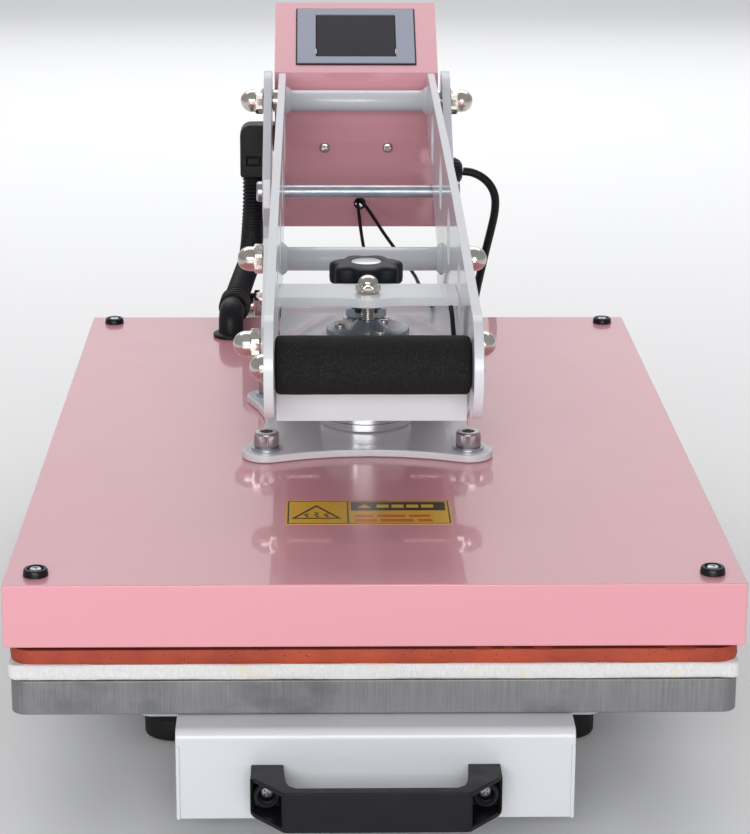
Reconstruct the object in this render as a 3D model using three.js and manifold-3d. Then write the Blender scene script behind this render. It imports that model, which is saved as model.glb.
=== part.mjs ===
// Auto-open clamshell heat press with a slide-out lower platen, in millimetres, +Z up, front towards -Y.
// The origin is the middle of the footprint, on the surface that the press stands on.
import * as THREE from 'three';
import { mergeVertices } from 'three/addons/utils/BufferGeometryUtils.js';
import Module from 'manifold-3d';

const wasm = await Module();
wasm.setup();

// Driving dimensions. Places in the side view are given as (back, up): back is the distance
// behind the cover's front edge, up is the height above the cover's top.
const COVER_WIDTH = 415;
const COVER_DEPTH = 615;
const COVER_HEIGHT = 37;
const COVER_FRONT = -391;
const COVER_TOP = 148;
const SHEET = 2;
const GAP = 0.3;

const PLATE_WIDTH = 400;
const PLATE_DEPTH = 600;
const PLATE_SHOWS = 2.6;
const PAD_THICK = 8.3;
const FELT_THICK = 8.9;
const PLATEN_THICK = 20.3;

const DRAWER_HALF = 111.5;
const DRAWER_FRONT = -21;
const BASE_HALF = 140.5;
const BASE_FRONT = 118;
const BASE_BACK = 842.3;
const BASE_UNDER = 20;
const RAIL_TUBE = 16;
const RAIL_HEIGHT = 44;
const RAIL_FRONT = 130;
const RAIL_LENGTH = 500;

const HEAD_BACK = 307;
const SCREW_SPACING = 65;
const HUB_RADIUS = 30.3;
const MAGNET_BACK = 246;

const ARM_HALF = 56.5;
const ARM_SHEET = 4;
const HANDLE_IN = 57.3;
const HANDLE_OUT = 63;
const LINK_IN = 64.3;
const LINK_OUT = 70.3;
const UPRIGHT_IN = 68.4;
const UPRIGHT_OUT = 75;
const BOX_HALF = 67;

const ARM_PIVOT = [705, -12];
const HANDLE_PIVOT = [730, 152.7];
const LINK_LOW = [350, 47.2];
const LINK_HIGH = [460, 81.7];
const GRIP_AXIS = [101, 99];
const MAGNET_AXLE = [MAGNET_BACK, 58.5];
const TIE_ROD = [642, 95];
const SPRING_TOP = [658, -28.7];

// Cord route: straight out of the gland, down under its own weight, over the base and to the coil.
const CORD_RADIUS = 3.5;
const GLAND = [90, 395, 232];
const COIL = [58, 518];
const COIL_MEAN = 42;
const PLUG = [31, 582.6, 13.6];
const CORD_ROUTE = [
  [90.6, 395, 232], [97.6, 395, 231.1], [104.6, 395.2, 228.2], [110.4, 395.7, 223.8],
  [114.9, 396.5, 218], [117.7, 397.5, 211.2], [118.6, 398.7, 203.5], [117.9, 400.2, 193.5],
  [115.6, 402, 181], [112.2, 404.2, 165], [108.4, 407, 146], [104.4, 411, 124], [101, 416, 101],
  [98.8, 424, 76], [98.4, 434, 55], [99.4, 447, 38], [101.2, 460, 25.5],
  [103.2, 472, 15.8], [105.6, 483, 8.8], [107.6, 492, 5.2], [108.8, 499.4, 4.1],
];

// Hose: straight out of the upper elbow, a quarter turn forwards, then level to the lower elbow.
const HOSE_RADIUS = 9.4;
const HOSE_TOP = [-85.5, 395, 232];
const HOSE_END = [-96, 202.7, 166];
const HOSE_BEND = 62;
const hoseX = (y) => THREE.MathUtils.mapLinear(y, HOSE_TOP[1], HOSE_END[1], HOSE_TOP[0], HOSE_END[0]);
const HOSE_ROUTE = [
  HOSE_TOP,
  ...[0, 15, 30, 45, 60, 75, 90].map((degrees) => {
    const angle = THREE.MathUtils.degToRad(degrees);
    const y = HOSE_TOP[1] - HOSE_BEND * (1 - Math.cos(angle));
    return [hoseX(y), y, HOSE_END[2] + HOSE_BEND * (1 - Math.sin(angle))];
  }),
  ...[300, 266, 234, HOSE_END[1]].map((y) => [hoseX(y), y, HOSE_END[2]]),
];

// The two thin wires from the control box to the arm.
const MAGNET_WIRE_ROUTE = [
  [1.6, 365, 210.4], [1.6, 361, 210], [2.2, 348, 205.6], [3.4, 332, 196.4], [5, 316, 187.4],
  [6.8, 298, 180], [7.8, 276, 174.6], [8, 254, 171.4], [8, 234, 170], [8, 222, 170.8], [8, 214, 173],
];
const SWITCH_WIRE_ROUTE = [
  [4.7, 365, 211.9], [4.9, 361, 211.9], [8.6, 350, 210.4], [15, 334, 203.4], [22.6, 317, 194.8],
  [31.4, 297, 186], [39.6, 272, 179.6], [44.8, 244, 176.8], [47, 212, 177.4], [48, 176, 182.6],
  [48, 136, 190], [48, 96, 197.6], [48, 56, 205.3], [48, 16, 213], [47, -18, 219.5],
  [46, -44, 225.4], [44.5, -60, 226.4],
];

const paint = (color, roughness, metalness) => ({ color, roughness, metalness });
const PINK = paint(0xe0919f, 0.28, 0.1);
const WHITE = paint(0xe4e7ec, 0.35, 0.1);
const BLACK = paint(0x18181a, 0.5, 0);
const RUBBER = paint(0x141414, 0.85, 0);
const NICKEL = paint(0xcfc6bb, 0.18, 1);
const ZINC = paint(0x9aa2aa, 0.35, 1);
const ALUMINIUM = paint(0x85878a, 0.45, 1);
const CAST = paint(0x3a3536, 0.6, 0.4);

const parts = new THREE.Group();

// Adds one named body.
function add(name, geometry, look) {
  const mesh = new THREE.Mesh(geometry, new THREE.MeshStandardMaterial(look));
  mesh.name = name;
  parts.add(mesh);
  return mesh;
}

// --- Solids and booleans -------------------------------------------------------------------

function toSolid(geometry) {
  const plain = geometry.clone();
  for (const key of Object.keys(plain.attributes)) {
    if (key !== 'position') plain.deleteAttribute(key);
  }
  const merged = mergeVertices(plain, 1e-4);
  return new wasm.Manifold(new wasm.Mesh({
    numProp: 3,
    vertProperties: new Float32Array(merged.attributes.position.array),
    triVerts: new Uint32Array(merged.index.array),
  }));
}

function toGeometry(solid) {
  const mesh = solid.getMesh();
  const geometry = new THREE.BufferGeometry();
  geometry.setAttribute('position', new THREE.BufferAttribute(mesh.vertProperties, 3));
  geometry.setIndex(new THREE.BufferAttribute(mesh.triVerts, 1));
  return geometry;
}

function cut(geometry, ...tools) {
  const solid = tools.reduce((left, tool) => left.subtract(toSolid(tool)), toSolid(geometry));
  return toGeometry(solid);
}

function join(geometry, ...others) {
  const solid = others.reduce((left, other) => left.add(toSolid(other)), toSolid(geometry));
  return toGeometry(solid);
}

// --- Basic shapes, placed in the part's own frame --------------------------------------------

// A (back, up) place as [y, z].
const side = ([back, up]) => [COVER_FRONT + back, COVER_TOP + up];
const yOf = (back) => COVER_FRONT + back;

function box(x0, x1, y0, y1, z0, z1) {
  return new THREE.BoxGeometry(x1 - x0, y1 - y0, z1 - z0)
    .translate((x0 + x1) / 2, (y0 + y1) / 2, (z0 + z1) / 2);
}

function rodX(radius, x0, x1, [y, z], segments = 16) {
  return new THREE.CylinderGeometry(radius, radius, x1 - x0, segments)
    .rotateZ(-Math.PI / 2).translate((x0 + x1) / 2, y, z);
}

function rodZ(radius, z0, z1, x, y, segments = 16) {
  return new THREE.CylinderGeometry(radius, radius, z1 - z0, segments)
    .rotateX(Math.PI / 2).translate(x, y, (z0 + z1) / 2);
}

// An outline in the side view (y, z), as a plate from x0 to x1.
function plateX(shape, x0, x1, curveSegments = 8) {
  const turn = new THREE.Matrix4().makeBasis(
    new THREE.Vector3(0, 1, 0), new THREE.Vector3(0, 0, 1), new THREE.Vector3(1, 0, 0));
  return new THREE.ExtrudeGeometry(shape, { depth: x1 - x0, bevelEnabled: false, curveSegments })
    .applyMatrix4(turn).translate(x0, 0, 0);
}

// An outline in plan (x, y), as a slab from z0 to z1.
function slab(shape, z0, z1, curveSegments = 6) {
  return new THREE.ExtrudeGeometry(shape, { depth: z1 - z0, bevelEnabled: false, curveSegments })
    .translate(0, 0, z0);
}

function polygon(points) {
  return new THREE.Shape(points.map(([a, b]) => new THREE.Vector2(a, b)));
}

function roundedRectangle(x0, x1, y0, y1, radius) {
  const shape = new THREE.Shape();
  shape.absarc(x1 - radius, y1 - radius, radius, 0, Math.PI / 2);
  shape.absarc(x0 + radius, y1 - radius, radius, Math.PI / 2, Math.PI);
  shape.absarc(x0 + radius, y0 + radius, radius, Math.PI, 1.5 * Math.PI);
  shape.absarc(x1 - radius, y0 + radius, radius, 1.5 * Math.PI, 2 * Math.PI);
  shape.closePath();
  return shape;
}

function hole(shape, [a, b], radius) {
  const path = new THREE.Path();
  path.absarc(a, b, radius, 0, 2 * Math.PI, true);
  shape.holes.push(path);
}

// A turned solid about the vertical line through (x, y): the profile is [radius, z].
function turnedZ(profile, x, y, segments = 24) {
  const points = profile.map(([radius, z]) => new THREE.Vector2(radius, z));
  return new THREE.LatheGeometry(points, segments).rotateX(Math.PI / 2).translate(x, y, 0);
}

// A turned solid about a line along X through (y, z): the profile is [radius, x].
function turnedX(profile, [y, z], segments = 14) {
  const points = profile.map(([radius, x]) => new THREE.Vector2(radius, x));
  return new THREE.LatheGeometry(points, segments).rotateZ(-Math.PI / 2).translate(0, y, z);
}

function tube(route, radius, steps, sides) {
  const path = new THREE.CatmullRomCurve3(route.map((p) => new THREE.Vector3(...p)));
  const section = new THREE.Shape();
  for (let i = 0; i < sides; i += 1) {
    const angle = (2 * Math.PI * i) / sides;
    const [a, b] = [radius * Math.cos(angle), radius * Math.sin(angle)];
    if (i === 0) section.moveTo(a, b);
    else section.lineTo(a, b);
  }
  section.closePath();
  return new THREE.ExtrudeGeometry(section, { steps, extrudePath: path, bevelEnabled: false });
}

// A shaft along X with a hexagon and a dome at each end: a through bolt with two acorn nuts.
function acornAxle(centre, seat, radius, flats, domeRadius, hexLong, domeLong, shoulders = []) {
  const corner = flats / Math.sqrt(3);
  let solid = rodX(radius, -seat - 1, seat + 1, centre);
  for (const way of [-1, 1]) {
    const from = Math.min(way * seat, way * (seat + hexLong));
    solid = join(solid, rodX(corner, from, from + hexLong, centre, 6));
    const start = way * (seat + hexLong - 0.2);
    const end = way * (seat + hexLong + domeLong);
    const low = Math.min(start, end);
    const reach = Math.abs(end - start);
    const profile = [[0, way > 0 ? low : low + reach], [domeRadius, way > 0 ? low : low + reach]];
    const straight = domeLong * 0.25;
    for (let i = 0; i <= 3; i += 1) {
      const angle = (Math.PI / 2) * (i / 3);
      const along = straight + (reach - straight) * Math.sin(angle);
      const out = i === 3 ? 0 : domeRadius * Math.cos(angle);
      profile.push([out, start + way * along]);
    }
    const ordered = way > 0 ? profile : profile.reverse();
    solid = join(solid, turnedX(ordered, centre));
  }
  for (const [r, x0, x1] of shoulders) {
    solid = join(solid, rodX(r, x0, x1, centre), rodX(r, -x1, -x0, centre));
  }
  return solid;
}

const M12 = [6, 19, 7, 9, 12];
const M16 = [8, 22, 9, 10.2, 13];

// --- Head: cover, heating plate, insulation, cross plate, hub ---------------------------------

const coverBottom = COVER_TOP - COVER_HEIGHT;
const plateBottom = coverBottom - PLATE_SHOWS;
const plateTop = plateBottom + 25;
const screwPlaces = [-1, 1].flatMap((across) => [-1, 1].map((along) => (
  [across * SCREW_SPACING, yOf(HEAD_BACK) + along * SCREW_SPACING])));
const cornerPlaces = [-1, 1].flatMap((across) => [17.5, COVER_DEPTH - 17.5].map((back) => (
  [across * (COVER_WIDTH / 2 - 17.5), yOf(back)])));
const HOSE_ENTRY = [-98, yOf(556)];

function heaterCover() {
  const half = COVER_WIDTH / 2;
  const back = COVER_FRONT + COVER_DEPTH;
  const shell = box(-half, half, COVER_FRONT, back, coverBottom, COVER_TOP);
  const inside = box(-half + SHEET, half - SHEET, COVER_FRONT + SHEET, back - SHEET,
    coverBottom - 1, COVER_TOP - SHEET);
  return cut(shell, inside, rodZ(7, COVER_TOP - 5, COVER_TOP + 1, ...HOSE_ENTRY, 16));
}

function heatingPlate() {
  const middle = COVER_FRONT + COVER_DEPTH / 2;
  const outline = roundedRectangle(-PLATE_WIDTH / 2, PLATE_WIDTH / 2,
    middle - PLATE_DEPTH / 2, middle + PLATE_DEPTH / 2, 8);
  const posts = cornerPlaces.map(([x, y]) => rodZ(6, plateTop - 1, COVER_TOP - SHEET - GAP, x, y, 12));
  const pads = screwPlaces.map(([x, y]) => rodZ(14, plateTop - 1, COVER_TOP - SHEET - GAP, x, y, 12));
  return join(slab(outline, plateBottom, plateTop), ...posts, ...pads);
}

function insulationBlanket() {
  const middle = COVER_FRONT + COVER_DEPTH / 2;
  const shape = roundedRectangle(-182, 182, middle - 298, middle + 298, 8);
  for (const place of screwPlaces) hole(shape, place, 16);
  return slab(shape, plateTop + GAP, COVER_TOP - SHEET - GAP, 5);
}

// Four rounded ears joined by edges that curve inwards.
function crossPlate() {
  const ear = 16;
  const dip = 14;
  const middle = yOf(HEAD_BACK);
  const corner = SCREW_SPACING;
  const shape = new THREE.Shape();
  for (let i = 0; i < 4; i += 1) {
    const turn = (Math.PI / 2) * i;
    const at = (x, y) => [
      x * Math.cos(turn) - y * Math.sin(turn),
      middle + x * Math.sin(turn) + y * Math.cos(turn)];
    const [cx, cy] = at(corner, corner);
    shape.absarc(cx, cy, ear, turn - 0.22, turn + Math.PI / 2 + 0.22);
    const [qx, qy] = at(0, corner + ear - 2 * dip);
    const next = turn + Math.PI / 2;
    const [ex, ey] = at(-corner, corner);
    shape.quadraticCurveTo(qx, qy, ex + ear * Math.cos(next - 0.22), ey + ear * Math.sin(next - 0.22));
  }
  return slab(shape, COVER_TOP + GAP, COVER_TOP + GAP + 5, 6);
}

function pressureHub() {
  const low = COVER_TOP + 2 * GAP + 5;
  const high = COVER_TOP + 66;
  return turnedZ([
    [0, low], [HUB_RADIUS, low], [HUB_RADIUS, high - 1.5], [HUB_RADIUS - 1.5, high],
    [8.6, high], [8.6, low + 14], [0, low + 14],
  ], 0, yOf(HEAD_BACK), 28);
}

function lowerElbow() {
  const [x, y] = HOSE_ENTRY;
  const base = COVER_TOP + GAP;
  const rise = HOSE_END[2];
  const flange = rodZ(13.5, base, base + 2.5, x, y, 24);
  const stem = [[x, y, base + 1], [x, y, rise - 13], [x, y + 4, rise - 4], [x + 0.4, y + 14, rise],
    [x + 1, y + 28, rise]];
  const collar = new THREE.CylinderGeometry(12, 12, 20, 14);
  collar.translate(HOSE_END[0] + 0.3, HOSE_END[1] - 10.9, rise);
  return join(flange, tube(stem, 9, 8, 12), collar);
}

function buildHead() {
  add('heater_cover', heaterCover(), PINK);
  add('heating_plate', heatingPlate(), CAST);
  add('insulation_blanket', insulationBlanket(), paint(0xd8d2c0, 0.95, 0));
  add('cross_plate', crossPlate(), WHITE);
  add('pressure_hub', pressureHub(), paint(0xd9dbdd, 0.2, 1));
  add('hose_elbow_lower', lowerElbow(), BLACK);
}

// --- Pressure knob ---------------------------------------------------------------------------

function starKnob() {
  const shape = new THREE.Shape();
  const lobes = 7;
  const steps = 28;
  for (let i = 0; i < steps; i += 1) {
    const angle = (2 * Math.PI * i) / steps;
    const radius = 23.4 + 1.8 * Math.cos(lobes * angle);
    const [x, y] = [radius * Math.cos(angle), yOf(HEAD_BACK) + radius * Math.sin(angle)];
    if (i === 0) shape.moveTo(x, y);
    else shape.lineTo(x, y);
  }
  shape.closePath();
  const stem = rodZ(10, COVER_TOP + 85, COVER_TOP + 99, 0, yOf(HEAD_BACK));
  const bore = rodZ(8.5, COVER_TOP + 80, COVER_TOP + 108, 0, yOf(HEAD_BACK));
  return cut(join(slab(shape, COVER_TOP + 98, COVER_TOP + 115), stem), bore);
}

function buildKnob() {
  add('star_knob', starKnob(), BLACK);
  add('pressure_screw', rodZ(8, COVER_TOP + 27, COVER_TOP + 107.5, 0, yOf(HEAD_BACK)), ZINC);
}

// --- Swing arm -------------------------------------------------------------------------------

const ARM_TOP = 75;
const ARM_SLOPE = (4 - ARM_TOP) / (690 - 328);
const armTopAt = (back) => (back < 328 ? ARM_TOP : ARM_TOP + ARM_SLOPE * (back - 328));

function swingArm() {
  const outer = polygon([
    [122, 59], [122, ARM_TOP], [328, ARM_TOP], [676, armTopAt(676)], [700, 4], [712, 2.6], [719, -5],
    [721, -13], [718, -22], [711, -27.6], [702, -28], [690, -27], [672, -39], [646, -39], [634, -26],
    [624, 4], [602, 5],
    [430, 21], [372, 31], [330, 31], [262, 43], [230, 43], [185, 59],
  ].map(side));
  const under = (back) => armTopAt(back) - ARM_SHEET;
  const inner = polygon([
    [126, -60], [126, ARM_TOP - ARM_SHEET], [327.3, under(328)], [668, under(668)],
    [668, 40], [740, 40], [740, -60],
  ].map(side));
  const head = yOf(HEAD_BACK);
  const channel = cut(
    plateX(outer, -ARM_HALF, ARM_HALF),
    plateX(inner, -ARM_HALF + ARM_SHEET, ARM_HALF - ARM_SHEET),
    rodX(8.3, -80, 80, side(ARM_PIVOT)),
    rodX(6.3, -80, 80, side(LINK_LOW)),
    rodX(6.3, -80, 80, side(MAGNET_AXLE)),
    rodZ(8.4, COVER_TOP + 60, COVER_TOP + 90, 0, head),
    rodZ(26, COVER_TOP + 60, COVER_TOP + 90, 0, yOf(MAGNET_BACK), 24),
    rodZ(4, COVER_TOP, COVER_TOP + 40, 8, yOf(605), 12),
  );
  return join(channel, rodX(4, -ARM_HALF - 1, ARM_HALF + 1, side(SPRING_TOP), 16));
}

// The magnet's face stands above the arm's top, where the armature disc meets it.
const MAGNET_FACE = 80.7;

function electromagnet() {
  const low = COVER_TOP + 43;
  const high = COVER_TOP + MAGNET_FACE;
  const [y] = side(MAGNET_AXLE);
  const body = turnedZ([
    [0, low], [24, low], [25, low + 1], [25, high - 0.6], [24.4, high], [20, high],
    [20, high - 0.8], [9, high - 0.8], [9, high], [0, high],
  ], 0, y, 24);
  return cut(body, rodX(6.3, -40, 40, side(MAGNET_AXLE)));
}

function buildArm() {
  add('swing_arm', swingArm(), WHITE);
  add('electromagnet', electromagnet(), ZINC);
  add('magnet_axle', acornAxle(side(MAGNET_AXLE), ARM_HALF + GAP, ...M12), NICKEL);
  const spacer = [9, ARM_HALF + GAP, LINK_IN - GAP];
  add('link_axle', acornAxle(side(LINK_LOW), LINK_OUT + GAP, ...M12, [spacer]), NICKEL);
}

// --- Handle ----------------------------------------------------------------------------------

// Side outline of one handle plate: round at the pivot, straight edges, a round nose at the grip.
function handlePlateShape() {
  const shape = new THREE.Shape();
  const [py, pz] = side(HANDLE_PIVOT);
  const [gy, gz] = side(GRIP_AXIS);
  const line = (place) => shape.lineTo(...side(place));
  shape.absarc(py, pz, 22, -1.1, 1.62);
  line([330, 152]);
  shape.absarc(gy, gz, 31.5, 1.48, 4.71);
  line([225, 72]);
  line([300, 71.5]);
  line([445, 60]);
  line([515, 69]);
  line([600, 93]);
  line([640, 110]);
  shape.closePath();
  for (const [back, up] of [[629, 139], [492, 131], [372, 117], [238, 109]]) {
    hole(shape, side([back, up]), 20);
  }
  return shape;
}

function handlePlate(way) {
  const [x0, x1] = way < 0 ? [-HANDLE_OUT, -HANDLE_IN] : [HANDLE_IN, HANDLE_OUT];
  return cut(plateX(handlePlateShape(), x0, x1, 8),
    rodX(8.8, x0 - 5, x1 + 5, side(HANDLE_PIVOT)),
    rodX(8.8, x0 - 5, x1 + 5, side(LINK_HIGH)));
}

function crossTube(centre, half) {
  return cut(rodX(8.5, -half, half, centre, 20), rodX(6.4, -half - 5, half + 5, centre, 16));
}

function armatureBar() {
  const half = HANDLE_IN - GAP;
  const shape = new THREE.Shape();
  const y = (back) => yOf(back);
  shape.moveTo(-half, y(270));
  shape.lineTo(-half, y(232));
  shape.lineTo(-24, y(232));
  shape.quadraticCurveTo(-14, y(231), -9, y(228));
  shape.quadraticCurveTo(0, y(224), 9, y(228));
  shape.quadraticCurveTo(14, y(231), 24, y(232));
  shape.lineTo(half, y(232));
  shape.lineTo(half, y(270));
  shape.closePath();
  hole(shape, [0, yOf(MAGNET_BACK)], 4.3);
  return slab(shape, COVER_TOP + 102, COVER_TOP + 108, 6);
}

function armatureBolt() {
  const [x, y] = [0, yOf(MAGNET_BACK)];
  const seat = COVER_TOP + 108 + GAP;
  const shank = rodZ(4, COVER_TOP + MAGNET_FACE + 4, seat + 1, x, y, 16);
  const hexagon = rodZ(8, seat, seat + 4.8, x, y, 6);
  const dome = [[0, seat + 4], [6.3, seat + 4], [6.3, seat + 5.4]];
  for (let i = 1; i <= 4; i += 1) {
    const angle = (Math.PI / 2) * (i / 4);
    dome.push([i === 4 ? 0 : 6.3 * Math.cos(angle), seat + 5.4 + 5.4 * Math.sin(angle)]);
  }
  return join(shank, hexagon, turnedZ(dome, x, y, 20));
}

function armatureDisc() {
  const low = COVER_TOP + MAGNET_FACE + GAP;
  return turnedZ([
    [0, low], [26.5, low], [26.5, low + 3.4], [25.6, low + 4], [13, low + 4], [6, low + 9.5],
    [4.4, low + 9.5], [4.4, low + 3], [0, low + 3],
  ], 0, yOf(MAGNET_BACK), 24);
}

function buildHandle() {
  add('handle_plate_left', handlePlate(-1), WHITE);
  add('handle_plate_right', handlePlate(1), WHITE);
  add('handle_top_tube', crossTube(side(HANDLE_PIVOT), HANDLE_OUT), WHITE);
  add('handle_mid_tube', crossTube(side(LINK_HIGH), HANDLE_OUT), WHITE);
  add('armature_bar', armatureBar(), WHITE);
  add('armature_bolt', armatureBolt(), NICKEL);
  add('armature_disc', armatureDisc(), ZINC);
  const grip = side(GRIP_AXIS);
  const half = HANDLE_IN - GAP;
  add('grip_core', rodX(10, -half, half, grip, 16), ZINC);
  add('foam_grip', cut(rodX(17.4, -half, half, grip, 24), rodX(10.4, -70, 70, grip, 16)), RUBBER);
}

// --- Links -----------------------------------------------------------------------------------

function linkPlate(way) {
  const [ay, az] = side(LINK_LOW);
  const [by, bz] = side(LINK_HIGH);
  const tilt = Math.atan2(bz - az, by - ay);
  const shape = new THREE.Shape();
  shape.absarc(by, bz, 15, tilt - Math.PI / 2, tilt + Math.PI / 2);
  shape.absarc(ay, az, 15, tilt + Math.PI / 2, tilt + 1.5 * Math.PI);
  shape.closePath();
  hole(shape, [ay, az], 6.3);
  hole(shape, [by, bz], 6.3);
  const [x0, x1] = way < 0 ? [-LINK_OUT, -LINK_IN] : [LINK_IN, LINK_OUT];
  return plateX(shape, x0, x1, 10);
}

// The upper pin of one link: a short shank that ends beside the handle plate, and its acorn nut.
function linkPin(way) {
  const whole = acornAxle(side(LINK_HIGH), LINK_OUT + GAP, ...M12);
  const edge = way * (HANDLE_OUT + GAP);
  const [y, z] = side(LINK_HIGH);
  const rest = way > 0 ? box(-120, edge, y - 30, y + 30, z - 30, z + 30)
    : box(edge, 120, y - 30, y + 30, z - 30, z + 30);
  return cut(whole, rest);
}

function buildLinks() {
  for (const [way, name] of [[-1, 'left'], [1, 'right']]) {
    add(`link_${name}`, linkPlate(way), WHITE);
    add(`link_pin_${name}`, linkPin(way), NICKEL);
  }
}

// --- Base, uprights and feet -----------------------------------------------------------------

const baseTubeIn = BASE_HALF - RAIL_TUBE;
const FOOT_PLACES = [[-1, 'left'], [1, 'right']].flatMap(([way, name]) => (
  [['front', 144], ['rear', 812]].map(([end, back]) => (
    { name: `foot_${end}_${name}`, x: way * 121, y: yOf(back) }))));

function baseFrame() {
  const [front, back] = [yOf(BASE_FRONT), yOf(BASE_BACK)];
  const top = BASE_UNDER + RAIL_HEIGHT;
  const tubes = [-1, 1].map((way) => {
    const outer = Math.max(way * baseTubeIn, way * BASE_HALF);
    return box(outer - RAIL_TUBE, outer, front + 8, back, BASE_UNDER + 1, top);
  });
  const frontPlate = slab(roundedRectangle(-BASE_HALF, BASE_HALF, front, front + 75, 6),
    BASE_UNDER, BASE_UNDER + 4);
  const rearPlate = slab(roundedRectangle(-BASE_HALF, BASE_HALF, yOf(615), back, 6),
    BASE_UNDER, BASE_UNDER + 5);
  const beam = box(-baseTubeIn - 2, baseTubeIn + 2, back - 30, back - 26, BASE_UNDER + 2, top - 6);
  return join(frontPlate, rearPlate, ...tubes, beam);
}

function foot(x, y) {
  const top = BASE_UNDER - GAP;
  return turnedZ([
    [0, 0], [17.5, 0], [18.6, 1.2], [19, top - 4], [17.6, top - 3], [17.6, top], [0, top],
  ], x, y, 20);
}

function upright(way) {
  const shape = new THREE.Shape();
  const floor = BASE_UNDER + 5 + GAP - COVER_TOP;
  const line = (place) => shape.lineTo(...side(place));
  const [py, pz] = side(HANDLE_PIVOT);
  shape.moveTo(...side([650, floor]));
  line([800, floor]);
  line([800, -86]);
  line([757, -48]);
  line([755, 120]);
  shape.absarc(py, pz, 24, -0.08, Math.PI * 0.86);
  line([632, 107]);
  line([628, 84]);
  line([648, 66]);
  shape.closePath();
  const [x0, x1] = way < 0 ? [-UPRIGHT_OUT, -UPRIGHT_IN] : [UPRIGHT_IN, UPRIGHT_OUT];
  const foot0 = way < 0 ? x0 : x1 - 30;
  const flange = box(foot0, foot0 + 30, yOf(664), yOf(790), BASE_UNDER + 5 + GAP, BASE_UNDER + 10);
  return cut(join(plateX(shape, x0, x1, 12), flange),
    rodX(6.3, x0 - 5, x1 + 5, side(HANDLE_PIVOT)),
    rodX(8.3, x0 - 5, x1 + 5, side(ARM_PIVOT)),
    rodX(5.3, x0 - 5, x1 + 5, side(TIE_ROD), 16));
}

// A rod through both uprights, headed at each end.
function tieRod() {
  const centre = side(TIE_ROD);
  const head = UPRIGHT_OUT + GAP;
  return join(rodX(5, -head - 1, head + 1, centre, 16),
    rodX(8, head, head + 4.5, centre, 20), rodX(8, -head - 4.5, -head, centre, 20));
}

function gasCylinder() {
  const y = yOf(SPRING_TOP[0]);
  const low = BASE_UNDER + 5 + GAP;
  return turnedZ([
    [0, low], [13, low], [13, low + 5], [11, low + 6], [11, COVER_TOP - 53], [9.5, COVER_TOP - 51],
    [5.4, COVER_TOP - 51], [5.4, COVER_TOP - 112], [0, COVER_TOP - 112],
  ], 0, y, 20);
}

function buildBase() {
  add('base_frame', baseFrame(), WHITE);
  for (const { name, x, y } of FOOT_PLACES) add(name, foot(x, y), RUBBER);
  add('upright_left', upright(-1), WHITE);
  add('upright_right', upright(1), WHITE);
  add('tie_rod', tieRod(), ZINC);
  const handleSpacer = [9, HANDLE_OUT + GAP, UPRIGHT_IN - GAP];
  add('handle_axle', acornAxle(side(HANDLE_PIVOT), UPRIGHT_OUT + GAP, ...M12, [handleSpacer]), NICKEL);
  const armSpacer = [11, ARM_HALF + GAP, UPRIGHT_IN - GAP];
  add('arm_axle', acornAxle(side(ARM_PIVOT), UPRIGHT_OUT + GAP, ...M16, [armSpacer]), NICKEL);
  add('gas_cylinder', gasCylinder(), BLACK);
}

// The eye's hole is wider than the pin, because the pin swings on an arc while the rod rises straight.
function buildGasRod() {
  const [y, z] = side(SPRING_TOP);
  const rod = rodZ(5, COVER_TOP - 108, z - 8, 0, y, 20);
  const eye = cut(rodX(11, -7, 7, [y, z]), rodX(7.2, -20, 20, [y, z], 20));
  add('gas_rod', join(rod, eye), ZINC);
}

// --- Control box -----------------------------------------------------------------------------

const BOX_LOW = [754, 43.5];
const BOX_BEND = [754, 172];
const BOX_TOP = [831, 219.5];
const BOX_REAR = 837;

// The box outline moved inwards by t, with its back left open when it is used as a cutter.
function boxOutline(t, rear) {
  const slope = Math.atan2(BOX_TOP[1] - BOX_BEND[1], BOX_TOP[0] - BOX_BEND[0]);
  const lean = t * Math.tan((Math.PI / 2 - slope) / 2);
  const drop = t / Math.cos(slope);
  const rise = Math.tan(slope);
  return polygon([
    [BOX_LOW[0] + t, BOX_LOW[1] + t], [rear, BOX_LOW[1] + t],
    [rear, BOX_TOP[1] - 3 * t - (t ? 4 : 5)], [BOX_TOP[0] - 2 * t, BOX_TOP[1] - 2 * t * rise - drop],
    [BOX_BEND[0] + t, BOX_BEND[1] - lean],
  ].map(side));
}

// A box-shaped tool on the tilted face: along is measured up the face from the bend.
function onScreen(half, along0, along1, below, above) {
  const slope = Math.atan2(BOX_TOP[1] - BOX_BEND[1], BOX_TOP[0] - BOX_BEND[0]);
  const [y, z] = side(BOX_BEND);
  return box(-half, half, along0, along1, below, above).rotateX(slope).translate(0, y, z);
}

const ELBOW_UP = 262;
const SCREEN_LOW = 10.5;
const SCREEN_HIGH = 80.5;
const WINDOW_LOW = 16.4;
const WINDOW_HIGH = 74.8;

function controlBox() {
  const shell = plateX(boxOutline(0, BOX_REAR), -BOX_HALF, BOX_HALF);
  const hollow = plateX(boxOutline(1.5, BOX_REAR + 5), -BOX_HALF + 1.5, BOX_HALF - 1.5);
  const wire = new THREE.CylinderGeometry(4.2, 4.2, 20, 16).translate(3.2, yOf(BOX_LOW[0]), 211.1);
  return cut(shell, hollow, onScreen(34.6, WINDOW_LOW + 2, WINDOW_HIGH - 2, -6, 6), wire,
    rodX(7, -BOX_HALF - 5, -BOX_HALF + 5, [HOSE_TOP[1], ELBOW_UP], 16),
    rodX(7, BOX_HALF - 5, BOX_HALF + 5, GLAND.slice(1), 16));
}

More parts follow.
